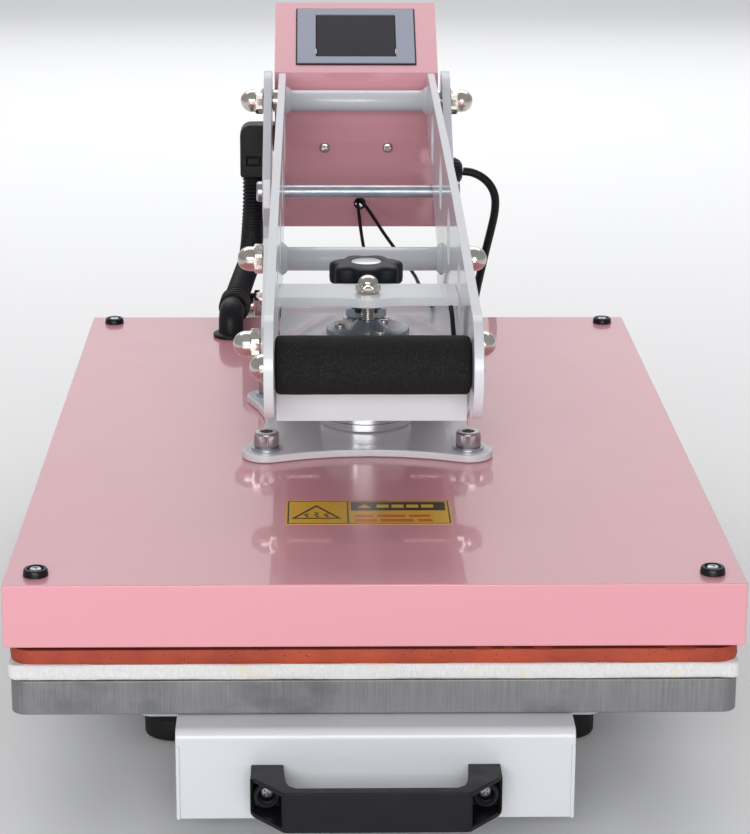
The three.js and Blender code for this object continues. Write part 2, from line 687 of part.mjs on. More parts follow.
function boxBack() {
  const low = COVER_TOP + 45 + 1.5 + GAP;
  const high = COVER_TOP + 211;
  const wide = BOX_HALF - 1.5 - GAP;
  const plate = box(-wide, wide, yOf(BOX_REAR - 2), yOf(BOX_REAR), low, high);
  const vents = [];
  for (let row = 0; row < 5; row += 1) {
    const z = COVER_TOP + 140 + row * 9;
    vents.push(box(-40, 40, yOf(BOX_REAR - 6), yOf(BOX_REAR + 4), z, z + 4));
  }
  const socket = box(-11, 11, yOf(BOX_REAR - 6), yOf(BOX_REAR + 4), COVER_TOP + 65, COVER_TOP + 95);
  return cut(plate, ...vents, socket);
}

function powerSwitch() {
  const y = yOf(BOX_REAR);
  const z = COVER_TOP + 80;
  const rocker = polygon([
    [y - 3, z - 13.4], [y + 5.4, z - 13.4], [y + 2.2, z], [y + 2.6, z + 13.4], [y - 3, z + 13.4],
  ]);
  return plateX(rocker, -8.6, 8.6);
}

function upperElbow() {
  const x = -BOX_HALF - GAP;
  const [outer, inner] = [HOSE_TOP[0] - 11, HOSE_TOP[0] + 11];
  const foot = HOSE_TOP[2] - 3.5;
  const outline = new THREE.Shape();
  outline.moveTo(x, ELBOW_UP - 11);
  outline.lineTo(x, ELBOW_UP + 11);
  outline.absarc(outer + 8, ELBOW_UP + 3, 8, Math.PI / 2, Math.PI);
  outline.lineTo(outer, foot + 2);
  outline.lineTo(outer + 1.5, foot);
  outline.lineTo(inner - 1.5, foot);
  outline.lineTo(inner, foot + 2);
  outline.lineTo(inner, ELBOW_UP - 11);
  outline.closePath();
  const body = new THREE.ExtrudeGeometry(outline, { depth: 22, bevelEnabled: false, curveSegments: 6 })
    .rotateX(Math.PI / 2).translate(0, HOSE_TOP[1] + 11, 0);
  return cut(body, rodZ(HOSE_RADIUS + GAP, foot - 5, HOSE_TOP[2] + 1, HOSE_TOP[0], HOSE_TOP[1], 20));
}

function cableGland() {
  const [x, y, z] = GLAND;
  return turnedX([
    [0, BOX_HALF + GAP], [11.5, BOX_HALF + GAP], [11.5, BOX_HALF + 7], [12, BOX_HALF + 8],
    [12, x - 8], [10.5, x - 4], [6, x], [0, x],
  ], [y, z], 24);
}

function touchScreen() {
  return onScreen(32.7, WINDOW_LOW + 2.6, WINDOW_HIGH - 2.6, -4, 1.4);
}

function buildBox() {
  add('control_box', controlBox(), PINK);
  add('control_box_back', boxBack(), PINK);
  add('screen_bezel', cut(onScreen(48.5, SCREEN_LOW, SCREEN_HIGH, GAP, 1.8),
    onScreen(33.2, WINDOW_LOW + 2.2, WINDOW_HIGH - 2.2, -5, 5)), paint(0x9a9fb2, 0.5, 0));
  add('touch_screen', touchScreen(), paint(0x2c2b33, 0.25, 0));
  add('control_board', box(-45, 45, yOf(761), yOf(783), COVER_TOP + 80, COVER_TOP + 140),
    paint(0x1f5a3a, 0.6, 0));
  add('hose_elbow_upper', upperElbow(), BLACK);
  add('cable_gland', cableGland(), BLACK);
}

// --- Drawer ----------------------------------------------------------------------------------

const padTop = plateBottom - GAP;
const feltTop = padTop - PAD_THICK - GAP;
const platenTop = feltTop - FELT_THICK - GAP;
const platenBottom = platenTop - PLATEN_THICK;
const drawerTop = platenBottom - GAP;

function layer(halfWidth, front, back, radius, z0, z1) {
  return slab(roundedRectangle(-halfWidth, halfWidth, yOf(front), yOf(back), radius), z0, z1, 5);
}

// Folded from sheet: a top with a rounded front fold, a deep front, two sides and a rear wall.
function drawerBox() {
  const [front, back] = [yOf(DRAWER_FRONT), yOf(560)];
  const [low, lowFront] = [26, 16.5];
  const profile = new THREE.Shape();
  profile.moveTo(front, lowFront);
  profile.lineTo(front + SHEET, lowFront);
  profile.lineTo(front + 10, low);
  profile.lineTo(back, low);
  profile.lineTo(back, drawerTop);
  profile.absarc(front + 6, drawerTop - 6, 6, Math.PI / 2, Math.PI);
  profile.closePath();
  const inner = DRAWER_HALF - SHEET;
  return cut(plateX(profile, -DRAWER_HALF, DRAWER_HALF, 6),
    box(-inner, inner, front + SHEET, back - SHEET, 0, drawerTop - SHEET));
}

// Wide bow handle: posts at the ends, a bar between them, and a hollow behind each slanted end.
function pullHandle() {
  const wall = yOf(DRAWER_FRONT) - GAP;
  const out = wall - 39;
  const shape = polygon([
    [69.5, wall], [69.5, wall - 15], [66.5, wall - 20], [50.5, out], [-50.5, out],
    [-66.5, wall - 20], [-69.5, wall - 15], [-69.5, wall], [-50.5, wall], [-49, wall - 26],
    [-45, wall - 31], [45, wall - 31], [49, wall - 26], [50.5, wall],
  ]);
  const pocket = (way) => {
    const hollow = polygon([
      [way * 67.5, wall - 9], [way * 52.5, wall - 9], [way * 51.5, wall - 26], [way * 50.5, out + 2.4],
      [way * 53, out - 8], [way * 80, wall - 20], [way * 67.5, wall - 14],
    ]);
    return slab(hollow, 28.5, 46.5);
  };
  return cut(slab(shape, 26, 49.6), pocket(1), pocket(-1));
}

// A C-shaped rail: the web at one side and a lip along the top and bottom edges.
function rail(way, webX, lipX, z0, z1, y0, y1, sheet) {
  const [w0, w1] = [way * webX, way * (webX + (lipX > webX ? sheet : -sheet))];
  const web = box(Math.min(w0, w1), Math.max(w0, w1), y0, y1, z0, z1);
  const [l0, l1] = [Math.min(way * webX, way * lipX), Math.max(way * webX, way * lipX)];
  return join(web, box(l0, l1, y0, y1, z0, z0 + sheet), box(l0, l1, y0, y1, z1 - sheet, z1));
}

function buildRails() {
  const [y0, y1] = [yOf(RAIL_FRONT), yOf(RAIL_FRONT) + RAIL_LENGTH];
  const [z0, z1] = [BASE_UNDER + 7, BASE_UNDER + RAIL_HEIGHT - 3];
  for (const [way, name] of [[-1, 'left'], [1, 'right']]) {
    add(`rail_outer_${name}`, rail(way, baseTubeIn - GAP, DRAWER_HALF + 3.5, z0, z1, y0, y1, 1.6), ZINC);
    add(`rail_inner_${name}`, rail(way, DRAWER_HALF + GAP, baseTubeIn - 2.6, z0 + 2.2, z1 - 2.2,
      y0 - 18, y1 - 90, 1.6), ZINC);
  }
}

function buildDrawer() {
  add('silicone_pad', layer(206, 2.5, 612, 14, padTop - PAD_THICK, padTop), paint(0xb0402e, 0.8, 0));
  add('felt_pad', layer(207, 1.5, 612, 6, feltTop - FELT_THICK, feltTop), paint(0xe9e6e1, 0.95, 0));
  add('lower_platen', layer(205, 2, 612, 9, platenBottom, platenTop), ALUMINIUM);
  add('drawer_box', drawerBox(), WHITE);
  add('pull_handle', pullHandle(), BLACK);
}

// --- Hose, wires and mains cord --------------------------------------------------------------

function mainsPlug() {
  const relief = new THREE.CylinderGeometry(6, 4.4, 26, 12).translate(0, 13, 0);
  const body = new THREE.CylinderGeometry(11.5, 9.5, 30, 16).translate(0, 40, 0);
  const cap = new THREE.CylinderGeometry(13.5, 13.5, 6, 16).translate(0, 57, 0);
  const pins = [box(-6.4, -4.9, 58, 77, -3.4, 3.4), box(4.9, 6.4, 58, 77, -3.4, 3.4),
    new THREE.CylinderGeometry(2.4, 2.4, 22, 10).translate(0, 69, 8)];
  return join(relief, body, cap, ...pins).rotateZ(Math.PI / 2).translate(...PLUG);
}

function buildCords() {
  add('conduit_hose', tube(HOSE_ROUTE, HOSE_RADIUS, 24, 12), BLACK);
  add('magnet_wire', tube(MAGNET_WIRE_ROUTE, 1.4, 22, 8), BLACK);
  add('switch_wire', tube(SWITCH_WIRE_ROUTE, 1.4, 34, 8), BLACK);
  add('mains_cable', tube(CORD_ROUTE, CORD_RADIUS, 30, 8), BLACK);
  const [low, high] = [0.3, 15.6];
  const [inner, outer] = [COIL_MEAN - 8, COIL_MEAN + 8];
  add('mains_coil', turnedZ([
    [inner + 3, low], [outer - 3, low], [outer, low + 3], [outer, high - 3], [outer - 3, high],
    [inner + 3, high], [inner, high - 3], [inner, low + 3], [inner + 3, low],
  ], ...COIL, 28), BLACK);
  add('mains_plug', mainsPlug(), BLACK);
}

buildBase();
buildBox();
add('power_switch', powerSwitch(), BLACK);
buildRails();
buildDrawer();
buildArm();
buildHandle();
buildLinks();
buildHead();
buildKnob();
buildGasRod();
buildCords();

export default parts;
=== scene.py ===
"""Looks of the heat press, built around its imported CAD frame.

Lengths are in millimetres until a mesh is finished.
"""
import math

import bmesh
import bpy
from mathutils import Matrix, Vector, noise


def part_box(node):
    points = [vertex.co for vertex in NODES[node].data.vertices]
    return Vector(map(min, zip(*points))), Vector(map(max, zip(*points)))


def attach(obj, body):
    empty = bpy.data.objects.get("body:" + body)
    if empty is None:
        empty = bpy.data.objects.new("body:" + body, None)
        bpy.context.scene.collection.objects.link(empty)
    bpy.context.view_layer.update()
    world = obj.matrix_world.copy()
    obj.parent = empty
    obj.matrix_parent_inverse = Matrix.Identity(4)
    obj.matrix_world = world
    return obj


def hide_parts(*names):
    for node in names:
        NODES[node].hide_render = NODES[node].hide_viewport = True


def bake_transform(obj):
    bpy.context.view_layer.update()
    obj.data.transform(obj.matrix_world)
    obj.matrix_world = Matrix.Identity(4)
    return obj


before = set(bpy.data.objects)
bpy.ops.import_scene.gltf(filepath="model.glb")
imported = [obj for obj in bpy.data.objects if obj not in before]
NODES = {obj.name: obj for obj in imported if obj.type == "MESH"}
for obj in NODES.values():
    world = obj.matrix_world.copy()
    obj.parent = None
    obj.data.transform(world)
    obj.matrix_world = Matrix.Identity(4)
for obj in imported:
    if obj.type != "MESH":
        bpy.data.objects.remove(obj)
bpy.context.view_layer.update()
MM = 0.001
TURN = 2 * math.pi


# --- Camera, light and floor -----------------------------------------------------------------

CAMERA_AT = (-0.0321, -1.7219, 0.6310)
CAMERA_LENS = 110.0
YAW, PITCH, ROLL = math.radians(1.341), math.radians(16.179), math.radians(0.282)


def make_camera():
    ahead = Vector((math.sin(YAW) * math.cos(PITCH), math.cos(YAW) * math.cos(PITCH), -math.sin(PITCH)))
    level = Vector((math.cos(YAW), -math.sin(YAW), 0))
    above = level.cross(ahead)
    right = math.cos(ROLL) * level + math.sin(ROLL) * above
    up = -math.sin(ROLL) * level + math.cos(ROLL) * above
    camera = bpy.data.objects.new("camera", bpy.data.cameras.new("camera"))
    bpy.context.scene.collection.objects.link(camera)
    turn = Matrix((right, up, -ahead)).transposed().to_4x4()
    camera.matrix_world = Matrix.Translation(CAMERA_AT) @ turn
    camera.data.sensor_width = 36
    camera.data.lens = CAMERA_LENS
    camera.data.clip_start = 0.05
    camera.data.clip_end = 60
    bpy.context.scene.camera = camera


def area_light(name, place, target, size, power):
    data = bpy.data.lights.new(name, "AREA")
    data.shape = "RECTANGLE"
    data.size, data.size_y = size
    data.energy = power
    light = bpy.data.objects.new(name, data)
    bpy.context.scene.collection.objects.link(light)
    light.location = place
    aim = Vector(target) - Vector(place)
    light.rotation_euler = aim.to_track_quat("-Z", "Y").to_euler()


def make_studio():
    scene = bpy.context.scene
    scene.view_settings.view_transform = "Standard"
    world = bpy.data.worlds.new("studio")
    world.use_nodes = True
    world.node_tree.nodes["Background"].inputs["Color"].default_value = (0.95, 0.965, 1.0, 1)
    world.node_tree.nodes["Background"].inputs["Strength"].default_value = 0.38
    scene.world = world
    area_light("front", (-0.35, -2.7, 0.95), (0, -0.2, 0.14), (2.2, 1.0), 33)
    area_light("low_front", (0.25, -2.4, 0.45), (0, -0.2, 0.2), (1.6, 0.5), 5)
    area_light("back", (0.0, 2.7, 1.3), (0, 0, 0.15), (3.8, 1.7), 12)
    area_light("floor_wash", (0.0, 1.9, 2.3), (0, 1.9, 0), (3.4, 2.0), 40)
    bm = bmesh.new()
    bmesh.ops.create_grid(bm, x_segments=1, y_segments=1, size=14)
    mesh = bpy.data.meshes.new("floor")
    bm.to_mesh(mesh)
    bm.free()
    floor = bpy.data.objects.new("floor", mesh)
    scene.collection.objects.link(floor)
    floor.location.z = -0.0006
    mesh.materials.append(Look("studio_floor", (0.95, 0.95, 0.95), 0.7).material)


# --- Procedural materials --------------------------------------------------------------------

class Look:
    """A procedural material. Patterns use object coordinates, which are metres in the row's frame."""

    def __init__(self, name, color, roughness, metallic=0.0, **sockets):
        self.material = bpy.data.materials.new(name)
        self.material.use_nodes = True
        self.tree = self.material.node_tree
        self.shader = self.tree.nodes["Principled BSDF"]
        self.place = self.node("ShaderNodeTexCoord").outputs["Object"]
        self.normal = None
        self.shader.inputs["Base Color"].default_value = (*color, 1)
        self.shader.inputs["Roughness"].default_value = roughness
        self.shader.inputs["Metallic"].default_value = metallic
        for key, value in sockets.items():
            self.shader.inputs[key.replace("_", " ")].default_value = value

    def node(self, kind, **settings):
        made = self.tree.nodes.new(kind)
        for key, value in settings.items():
            setattr(made, key, value)
        return made

    def link(self, source, target):
        self.tree.links.new(source, target)

    def stretched(self, stretch):
        if stretch == (1, 1, 1):
            return self.place
        mapping = self.node("ShaderNodeMapping")
        mapping.inputs["Scale"].default_value = stretch
        self.link(self.place, mapping.inputs["Vector"])
        return mapping.outputs["Vector"]

    def noise(self, scale, detail=2.0, rough=0.5, stretch=(1, 1, 1), distortion=0.0):
        made = self.node("ShaderNodeTexNoise")
        made.inputs["Scale"].default_value = scale
        made.inputs["Detail"].default_value = detail
        made.inputs["Roughness"].default_value = rough
        made.inputs["Distortion"].default_value = distortion
        self.link(self.stretched(stretch), made.inputs["Vector"])
        return made.outputs["Fac"]

    def cells(self, scale, stretch=(1, 1, 1), feature="F1"):
        made = self.node("ShaderNodeTexVoronoi", feature=feature)
        made.inputs["Scale"].default_value = scale
        self.link(self.stretched(stretch), made.inputs["Vector"])
        return made.outputs["Distance"]

    def ranged(self, value, from_low, from_high, to_low, to_high):
        made = self.node("ShaderNodeMapRange")
        self.link(value, made.inputs["Value"])
        for key, number in zip(("From Min", "From Max", "To Min", "To Max"),
                               (from_low, from_high, to_low, to_high)):
            made.inputs[key].default_value = number
        return made.outputs["Result"]

    def product(self, a, b):
        made = self.node("ShaderNodeMath", operation="MULTIPLY")
        self.link(a, made.inputs[0])
        self.link(b, made.inputs[1])
        return made.outputs["Value"]

    def mixed(self, factor, a, b):
        """A colour between a and b, each a colour or an output."""
        made = self.node("ShaderNodeMix", data_type="RGBA")
        self.link(factor, made.inputs["Factor"])
        for key, value in ((6, a), (7, b)):
            if isinstance(value, tuple):
                made.inputs[key].default_value = (*value, 1)
            else:
                self.link(value, made.inputs[key])
        return made.outputs[2]

    def color(self, output):
        self.link(output, self.shader.inputs["Base Color"])
        return self

    def roughness(self, output):
        self.link(output, self.shader.inputs["Roughness"])
        return self

    def bump(self, height, strength, depth):
        """Depth is in millimetres. A second call adds to the first."""
        made = self.node("ShaderNodeBump")
        made.inputs["Strength"].default_value = strength
        made.inputs["Distance"].default_value = depth * MM
        self.link(height, made.inputs["Height"])
        if self.normal:
            self.link(self.normal, made.inputs["Normal"])
        self.normal = made.outputs["Normal"]
        self.link(self.normal, self.shader.inputs["Normal"])
        return self


def powder_coat(name, color, shade, roughness, coat):
    """Sprayed and baked gloss paint: its tone drifts a little, and it has a faint orange peel."""
    look = Look(name, color, roughness, Coat_Weight=coat, Coat_Roughness=0.045, Specular_IOR_Level=0.5)
    look.color(look.mixed(look.ranged(look.noise(5, 2), 0.35, 0.65, 0, 1), color, shade))
    look.roughness(look.ranged(look.noise(24, 2), 0.3, 0.7, roughness - 0.02, roughness + 0.03))
    look.bump(look.noise(170, 1), 0.5, 0.02)
    return look


def plated(name, color, shade, roughness, spread, grain=(1, 1, 1), scale=160):
    """Nickel, zinc or bare metal, with a stain and a grain that runs along one axis when stretched."""
    look = Look(name, color, roughness, metallic=1.0)
    look.color(look.mixed(look.ranged(look.noise(70, 4), 0.35, 0.65, 0, 1), color, shade))
    fine = look.noise(scale, 3, stretch=grain)
    look.roughness(look.ranged(fine, 0.3, 0.7, roughness - spread, roughness + spread))
    look.bump(fine, 0.12, 0.03)
    return look


def moulded(name, color, roughness, grain=900, strength=0.25):
    """Moulded plastic or rubber with a fine grain and slightly paler patches that vary at random."""
    look = Look(name, color, roughness, Specular_IOR_Level=0.25)
    pale = tuple(c * 1.5 + 0.002 for c in color)
    look.color(look.mixed(look.ranged(look.noise(60, 3), 0.45, 0.75, 0, 0.6), color, pale))
    look.roughness(look.ranged(look.noise(90, 2), 0.3, 0.7, roughness - 0.05, roughness + 0.05))
    look.bump(look.noise(grain, 2), strength, 0.05)
    return look


def make_looks():
    looks = {
        "pink": powder_coat("pink_powder_coat", (0.80, 0.350, 0.405), (0.785, 0.335, 0.392), 0.32, 0.75),
        "white": powder_coat("white_powder_coat", (0.70, 0.715, 0.745), (0.685, 0.70, 0.735), 0.34, 0.6),
        "nickel": plated("bright_nickel", (0.74, 0.69, 0.63), (0.62, 0.57, 0.52), 0.17, 0.05),
        "zinc": plated("zinc_plate", (0.56, 0.585, 0.62), (0.44, 0.47, 0.51), 0.34, 0.08),
        "steel": plated("bare_steel", (0.52, 0.52, 0.53), (0.40, 0.39, 0.39), 0.3, 0.07),
        "turned": plated("turned_aluminium", (0.86, 0.86, 0.87), (0.78, 0.78, 0.79), 0.2, 0.06,
                         grain=(0.02, 0.02, 9), scale=300),
        "brass": plated("brass_pins", (0.78, 0.58, 0.28), (0.66, 0.46, 0.2), 0.26, 0.06),
        "black": moulded("black_moulding", (0.008, 0.0085, 0.0105), 0.44),
        "satin_black": moulded("satin_black_moulding", (0.008, 0.008, 0.01), 0.3, 700, 0.12),
        "sheath": moulded("cord_sheath", (0.007, 0.007, 0.008), 0.4, 700, 0.12),
        "rubber": moulded("foot_rubber", (0.012, 0.012, 0.012), 0.6, 800, 0.25),
    }
    looks["foam"] = foam_look()
    looks["silicone"] = silicone_look()
    looks["felt"] = felt_look()
    looks["platen"] = platen_look()
    looks["plate"] = cast_look()
    looks["glass_wool"] = glass_wool_look()
    looks["bezel"] = bezel_look()
    looks["screen"] = screen_look()
    looks["board"] = board_look()
    looks["yellow"] = printed("sticker_yellow", (0.86, 0.52, 0.02), (0.80, 0.47, 0.015))
    looks["ink"] = printed("sticker_black", (0.018, 0.016, 0.014), (0.03, 0.027, 0.022))
    looks["orange"] = printed("sticker_orange", (0.76, 0.16, 0.015), (0.68, 0.13, 0.012))
    looks["red_wire"] = printed("red_wire_sheath", (0.33, 0.03, 0.02), (0.25, 0.02, 0.015))
    return {key: look.material for key, look in looks.items()}


def foam_look():
    look = Look("closed_cell_foam", (0.018, 0.017, 0.017), 0.88, Specular_IOR_Level=0.3)
    fine = look.cells(1500)
    speck = look.noise(900, 4, 0.75)
    look.color(look.mixed(look.ranged(speck, 0.5, 0.72, 0, 1), (0.008, 0.0075, 0.0078),
                          (0.026, 0.0245, 0.0245)))
    look.roughness(look.ranged(speck, 0.3, 0.7, 0.95, 0.78))
    look.bump(fine, 0.6, 0.12)
    look.bump(look.noise(260, 3), 0.3, 0.15)
    return look


def silicone_look():
    """Red sponge: its cut edge shows small open pores."""
    look = Look("silicone_sponge", (0.44, 0.065, 0.03), 0.62, Specular_IOR_Level=0.35)
    pore = look.cells(520)
    dark = look.ranged(pore, 0.1, 0.3, 1, 0)
    rare = look.ranged(look.noise(190, 2), 0.52, 0.6, 0, 1)
    tone = look.mixed(look.ranged(look.noise(26, 4, 0.6), 0.35, 0.65, 0, 1), (0.47, 0.075, 0.032),
                      (0.34, 0.047, 0.024))
    # painted shade: the pores are darkened in colour to stand for the shade that falls inside them
    pits = look.product(dark, rare)
    look.color(look.mixed(pits, tone, (0.13, 0.016, 0.01)))
    look.bump(look.ranged(pits, 0, 1, 1, 0), 0.7, 0.3)
    look.bump(look.noise(700, 4), 0.35, 0.12)
    return look


def felt_look():
    """Pressed white felt with fibres and a few yellow blotches."""
    look = Look("pressed_felt", (0.80, 0.79, 0.77), 0.94, Sheen_Weight=0.35, Sheen_Roughness=0.6)
    blotch = look.ranged(look.noise(46, 3, 0.6), 0.6, 0.72, 0, 0.7)
    fibre = look.noise(900, 5, 0.7, stretch=(1, 1, 0.35), distortion=1.2)
    base = look.mixed(look.ranged(fibre, 0.3, 0.7, 0, 1), (0.66, 0.65, 0.64), (0.86, 0.85, 0.84))
    look.color(look.mixed(blotch, base, (0.80, 0.70, 0.47)))
    look.bump(fibre, 0.7, 0.35)
    look.bump(look.noise(150, 4), 0.5, 0.5)
    return look


def platen_look():
    """Sawn and brushed aluminium: fine upright strokes, darker where it was handled."""
    look = Look("brushed_platen", (0.36, 0.36, 0.365), 0.46, metallic=0.85)
    stroke = look.noise(90, 4, 0.65, stretch=(12, 12, 0.3))
    stain = look.noise(22, 5, 0.6, stretch=(1, 1, 1.5))
    tone = look.mixed(look.ranged(stroke, 0.3, 0.7, 0, 1), (0.20, 0.202, 0.206), (0.31, 0.313, 0.318))
    look.color(look.mixed(look.ranged(stain, 0.5, 0.75, 0, 0.75), tone, (0.13, 0.132, 0.135)))
    look.roughness(look.ranged(stroke, 0.3, 0.7, 0.38, 0.58))
    look.bump(stroke, 0.25, 0.06)
    return look


def cast_look():
    look = Look("coated_casting", (0.042, 0.03, 0.028), 0.42)
    spot = look.noise(240, 5, 0.7)
    look.color(look.mixed(look.ranged(spot, 0.45, 0.7, 0, 1), (0.036, 0.026, 0.025), (0.10, 0.07, 0.062)))
    look.roughness(look.ranged(spot, 0.3, 0.7, 0.34, 0.55))
    look.bump(look.noise(1200, 2), 0.2, 0.05)
    return look


def glass_wool_look():
    look = Look("needled_glass_wool", (0.62, 0.56, 0.40), 0.95, Sheen_Weight=0.3)
    fibre = look.noise(500, 6, 0.7, distortion=2)
    look.color(look.mixed(look.ranged(fibre, 0.3, 0.7, 0, 1), (0.50, 0.45, 0.31), (0.72, 0.67, 0.52)))
    look.bump(fibre, 0.8, 0.6)
    return look


def screen_look():
    look = Look("dark_display", (0.03, 0.029, 0.04), 0.3, Specular_IOR_Level=0.12)
    look.color(look.mixed(look.noise(30, 2), (0.022, 0.021, 0.030), (0.027, 0.026, 0.037)))
    look.roughness(look.ranged(look.noise(90, 3), 0.3, 0.7, 0.18, 0.3))
    return look


def bezel_look():
    """A matt printed film with a very fine grain."""
    look = Look("bezel_film", (0.36, 0.385, 0.475), 0.42, Specular_IOR_Level=0.4)
    look.color(look.mixed(look.noise(14, 2), (0.345, 0.37, 0.458), (0.375, 0.40, 0.492)))
    look.bump(look.noise(500, 1), 0.15, 0.02)
    return look


def board_look():
    look = Look("solder_mask", (0.02, 0.13, 0.06), 0.4)
    grid = look.node("ShaderNodeTexBrick")
    grid.inputs["Scale"].default_value = 90
    look.link(look.place, grid.inputs["Vector"])
    look.color(look.mixed(grid.outputs["Fac"], (0.015, 0.11, 0.05), (0.05, 0.2, 0.09)))
    return look


def printed(name, color, shade):
    look = Look(name, color, 0.33, Coat_Weight=0.3, Coat_Roughness=0.15)
    look.color(look.mixed(look.ranged(look.noise(140, 4), 0.3, 0.7, 0, 1), color, shade))
    look.bump(look.noise(700, 2), 0.08, 0.03)
    return look


# --- Mesh building, in millimetres ------------------------------------------------------------

def span(node):
    """The lowest and highest corners of a CAD node, in millimetres."""
    low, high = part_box(node)
    return low / MM, high / MM


def middle(node):
    low, high = span(node)
    return (low + high) / 2


def axes_for(axis):
    """Two unit vectors that make a right-handed frame with axis."""
    w = Vector(axis).normalized()
    helper = Vector((0, 0, 1)) if abs(w.z) < 0.9 else Vector((1, 0, 0))
    u = helper.cross(w).normalized()
    return u, w.cross(u), w


def hexagon(flats):
    """Cuts a circle down to a hexagon of that width across its flats."""
    return lambda angle, radius: min(
        radius, flats / 2 / math.cos((angle + math.pi / 6) % (math.pi / 3) - math.pi / 6))


def fluted(count, depth):
    """A radius with that many shallow grooves round it."""
    return lambda angle, radius: radius - depth * (0.5 - 0.5 * math.cos(count * angle))


def lathe(bm, profile, origin, axis=(0, 0, 1), segments=48, shape=None):
    """Turns a profile of (radius, height) pairs about an axis.

    It starts and ends on the axis, or closes on itself.
    """
    u, v, w = axes_for(axis)
    origin = Vector(origin)
    rings = []
    for radius, height in profile:
        if radius < 1e-6:
            rings.append([bm.verts.new(origin + w * height)])
            continue
        ring = []
        for i in range(segments):
            angle = TURN * i / segments
            r = shape(angle, radius) if shape else radius
            along = u * (r * math.cos(angle)) + v * (r * math.sin(angle))
            ring.append(bm.verts.new(origin + w * height + along))
        rings.append(ring)
    if profile[0][0] > 1e-6:
        rings.append(rings[0])
    for a, b in zip(rings, rings[1:]):
        for i in range(segments):
            j = (i + 1) % segments
            if len(a) == 1 and len(b) > 1:
                bm.faces.new((a[0], b[i], b[j]))
            elif len(b) == 1 and len(a) > 1:
                bm.faces.new((a[i], b[0], a[j]))
            elif len(a) > 1:
                bm.faces.new((a[i], b[i], b[j], a[j]))
    return bm


def dome(radius, start, height, steps=8):
    """The profile of a dome that closes on the axis."""
    points = []
    for i in range(1, steps + 1):
        angle = math.pi / 2 * i / steps
        points.append((0 if i == steps else radius * math.cos(angle), start + height * math.sin(angle)))
    return points


def smooth_path(points, step):
    """A Catmull-Rom curve through the points, with a point about every step millimetres."""
    pts = [Vector(p) for p in points]
    pts = [2 * pts[0] - pts[1]] + pts + [2 * pts[-1] - pts[-2]]
    path = []
    for p0, p1, p2, p3 in zip(pts, pts[1:], pts[2:], pts[3:]):
        count = max(1, round((p2 - p1).length / step))
        for i in range(count):
            t = i / count
            path.append(0.5 * (2 * p1 + (p2 - p0) * t + (2 * p0 - 5 * p1 + 4 * p2 - p3) * t ** 2
                               + (3 * p1 - p0 - 3 * p2 + p3) * t ** 3))
    path.append(pts[-2])
    return path


def sweep(bm, path, radius, segments=16):
    """A closed tube along a path. radius is a number, or a function of the distance along it."""
    along = 0.0
    normal = None
    rings = []
    for i, point in enumerate(path):
        ahead = (path[min(i + 1, len(path) - 1)] - path[max(i - 1, 0)]).normalized()
        if normal is None:
            normal = axes_for(ahead)[0]
        else:
            along += (point - path[i - 1]).length
            normal = (normal - ahead * normal.dot(ahead)).normalized()
        other = ahead.cross(normal)
        r = radius(along) if callable(radius) else radius
        rings.append([bm.verts.new(point + normal * (r * math.cos(TURN * k / segments))
                                   + other * (r * math.sin(TURN * k / segments))) for k in range(segments)])
    for a, b in zip(rings, rings[1:]):
        for k in range(segments):
            bm.faces.new((a[k], a[(k + 1) % segments], b[(k + 1) % segments], b[k]))
    bm.faces.new(list(reversed(rings[0])))
    bm.faces.new(rings[-1])
    return bm


def prism(bm, outline, low, high, plane="xy"):
    """A slab from an outline: a plan (x, y) between two heights, or a side (y, z) between widths."""
    def place(a, b, c):
        return (a, b, c) if plane == "xy" else ((c, a, b) if plane == "yz" else (a, c, b))
    bottom = [bm.verts.new(place(a, b, low)) for a, b in outline]
    top = [bm.verts.new(place(a, b, high)) for a, b in outline]
    bm.faces.new(list(reversed(bottom)))
    bm.faces.new(top)
    for i in range(len(outline)):
        j = (i + 1) % len(outline)
        bm.faces.new((bottom[i], bottom[j], top[j], top[i]))
    return bm


def block(bm, x0, x1, y0, y1, z0, z1):
    return prism(bm, [(x0, y0), (x1, y0), (x1, y1), (x0, y1)], z0, z1)


def rounded(x0, x1, y0, y1, radius, steps=6):
    """The outline of a rounded rectangle."""
    points = []
    for cx, cy, start in ((x1 - radius, y1 - radius, 0), (x0 + radius, y1 - radius, 1),
                          (x0 + radius, y0 + radius, 2), (x1 - radius, y0 + radius, 3)):
        for i in range(steps + 1):
            angle = math.pi / 2 * (start + i / steps)
            points.append((cx + radius * math.cos(angle), cy + radius * math.sin(angle)))
    return points


def set_mesh(piece, bm):
    bmesh.ops.recalc_face_normals(bm, faces=bm.faces)
    bm.to_mesh(piece.data)
    bm.free()
    for polygon in piece.data.polygons:
        polygon.use_smooth = True


def soften(piece, width, segments=2, angle=30):
    """Rounds the sharp edges, and shades flat faces flat."""
    bevel = piece.modifiers.new("edges", "BEVEL")
    bevel.width = width * MM
    bevel.segments = segments
    bevel.limit_method = "ANGLE"
    bevel.angle_limit = math.radians(angle)
    bevel.use_clamp_overlap = True
    weighted = piece.modifiers.new("shading", "WEIGHTED_NORMAL")
    weighted.keep_sharp = True
    weighted.weight = 100


def loose(name, bm):
    """An object in metres from a mesh in millimetres, not yet riding on anything."""
    bmesh.ops.scale(bm, vec=(MM, MM, MM), verts=bm.verts)
    piece = bpy.data.objects.new(name, bpy.data.meshes.new(name))
    bpy.context.scene.collection.objects.link(piece)
    set_mesh(piece, bm)
    return piece


def carve(piece, *cutters):
    """Cuts each cutter's mesh out of the piece."""
    for cutter in cutters:
        cut = piece.modifiers.new("cut", "BOOLEAN")
        cut.operation = "DIFFERENCE"
        cut.solver = "EXACT"
        cut.object = cutter
    bpy.context.view_layer.update()
    result = bpy.data.meshes.new_from_object(piece.evaluated_get(bpy.context.evaluated_depsgraph_get()))
    piece.modifiers.clear()
    piece.data = result
    for cutter in cutters:
        bpy.data.objects.remove(cutter)
    return piece


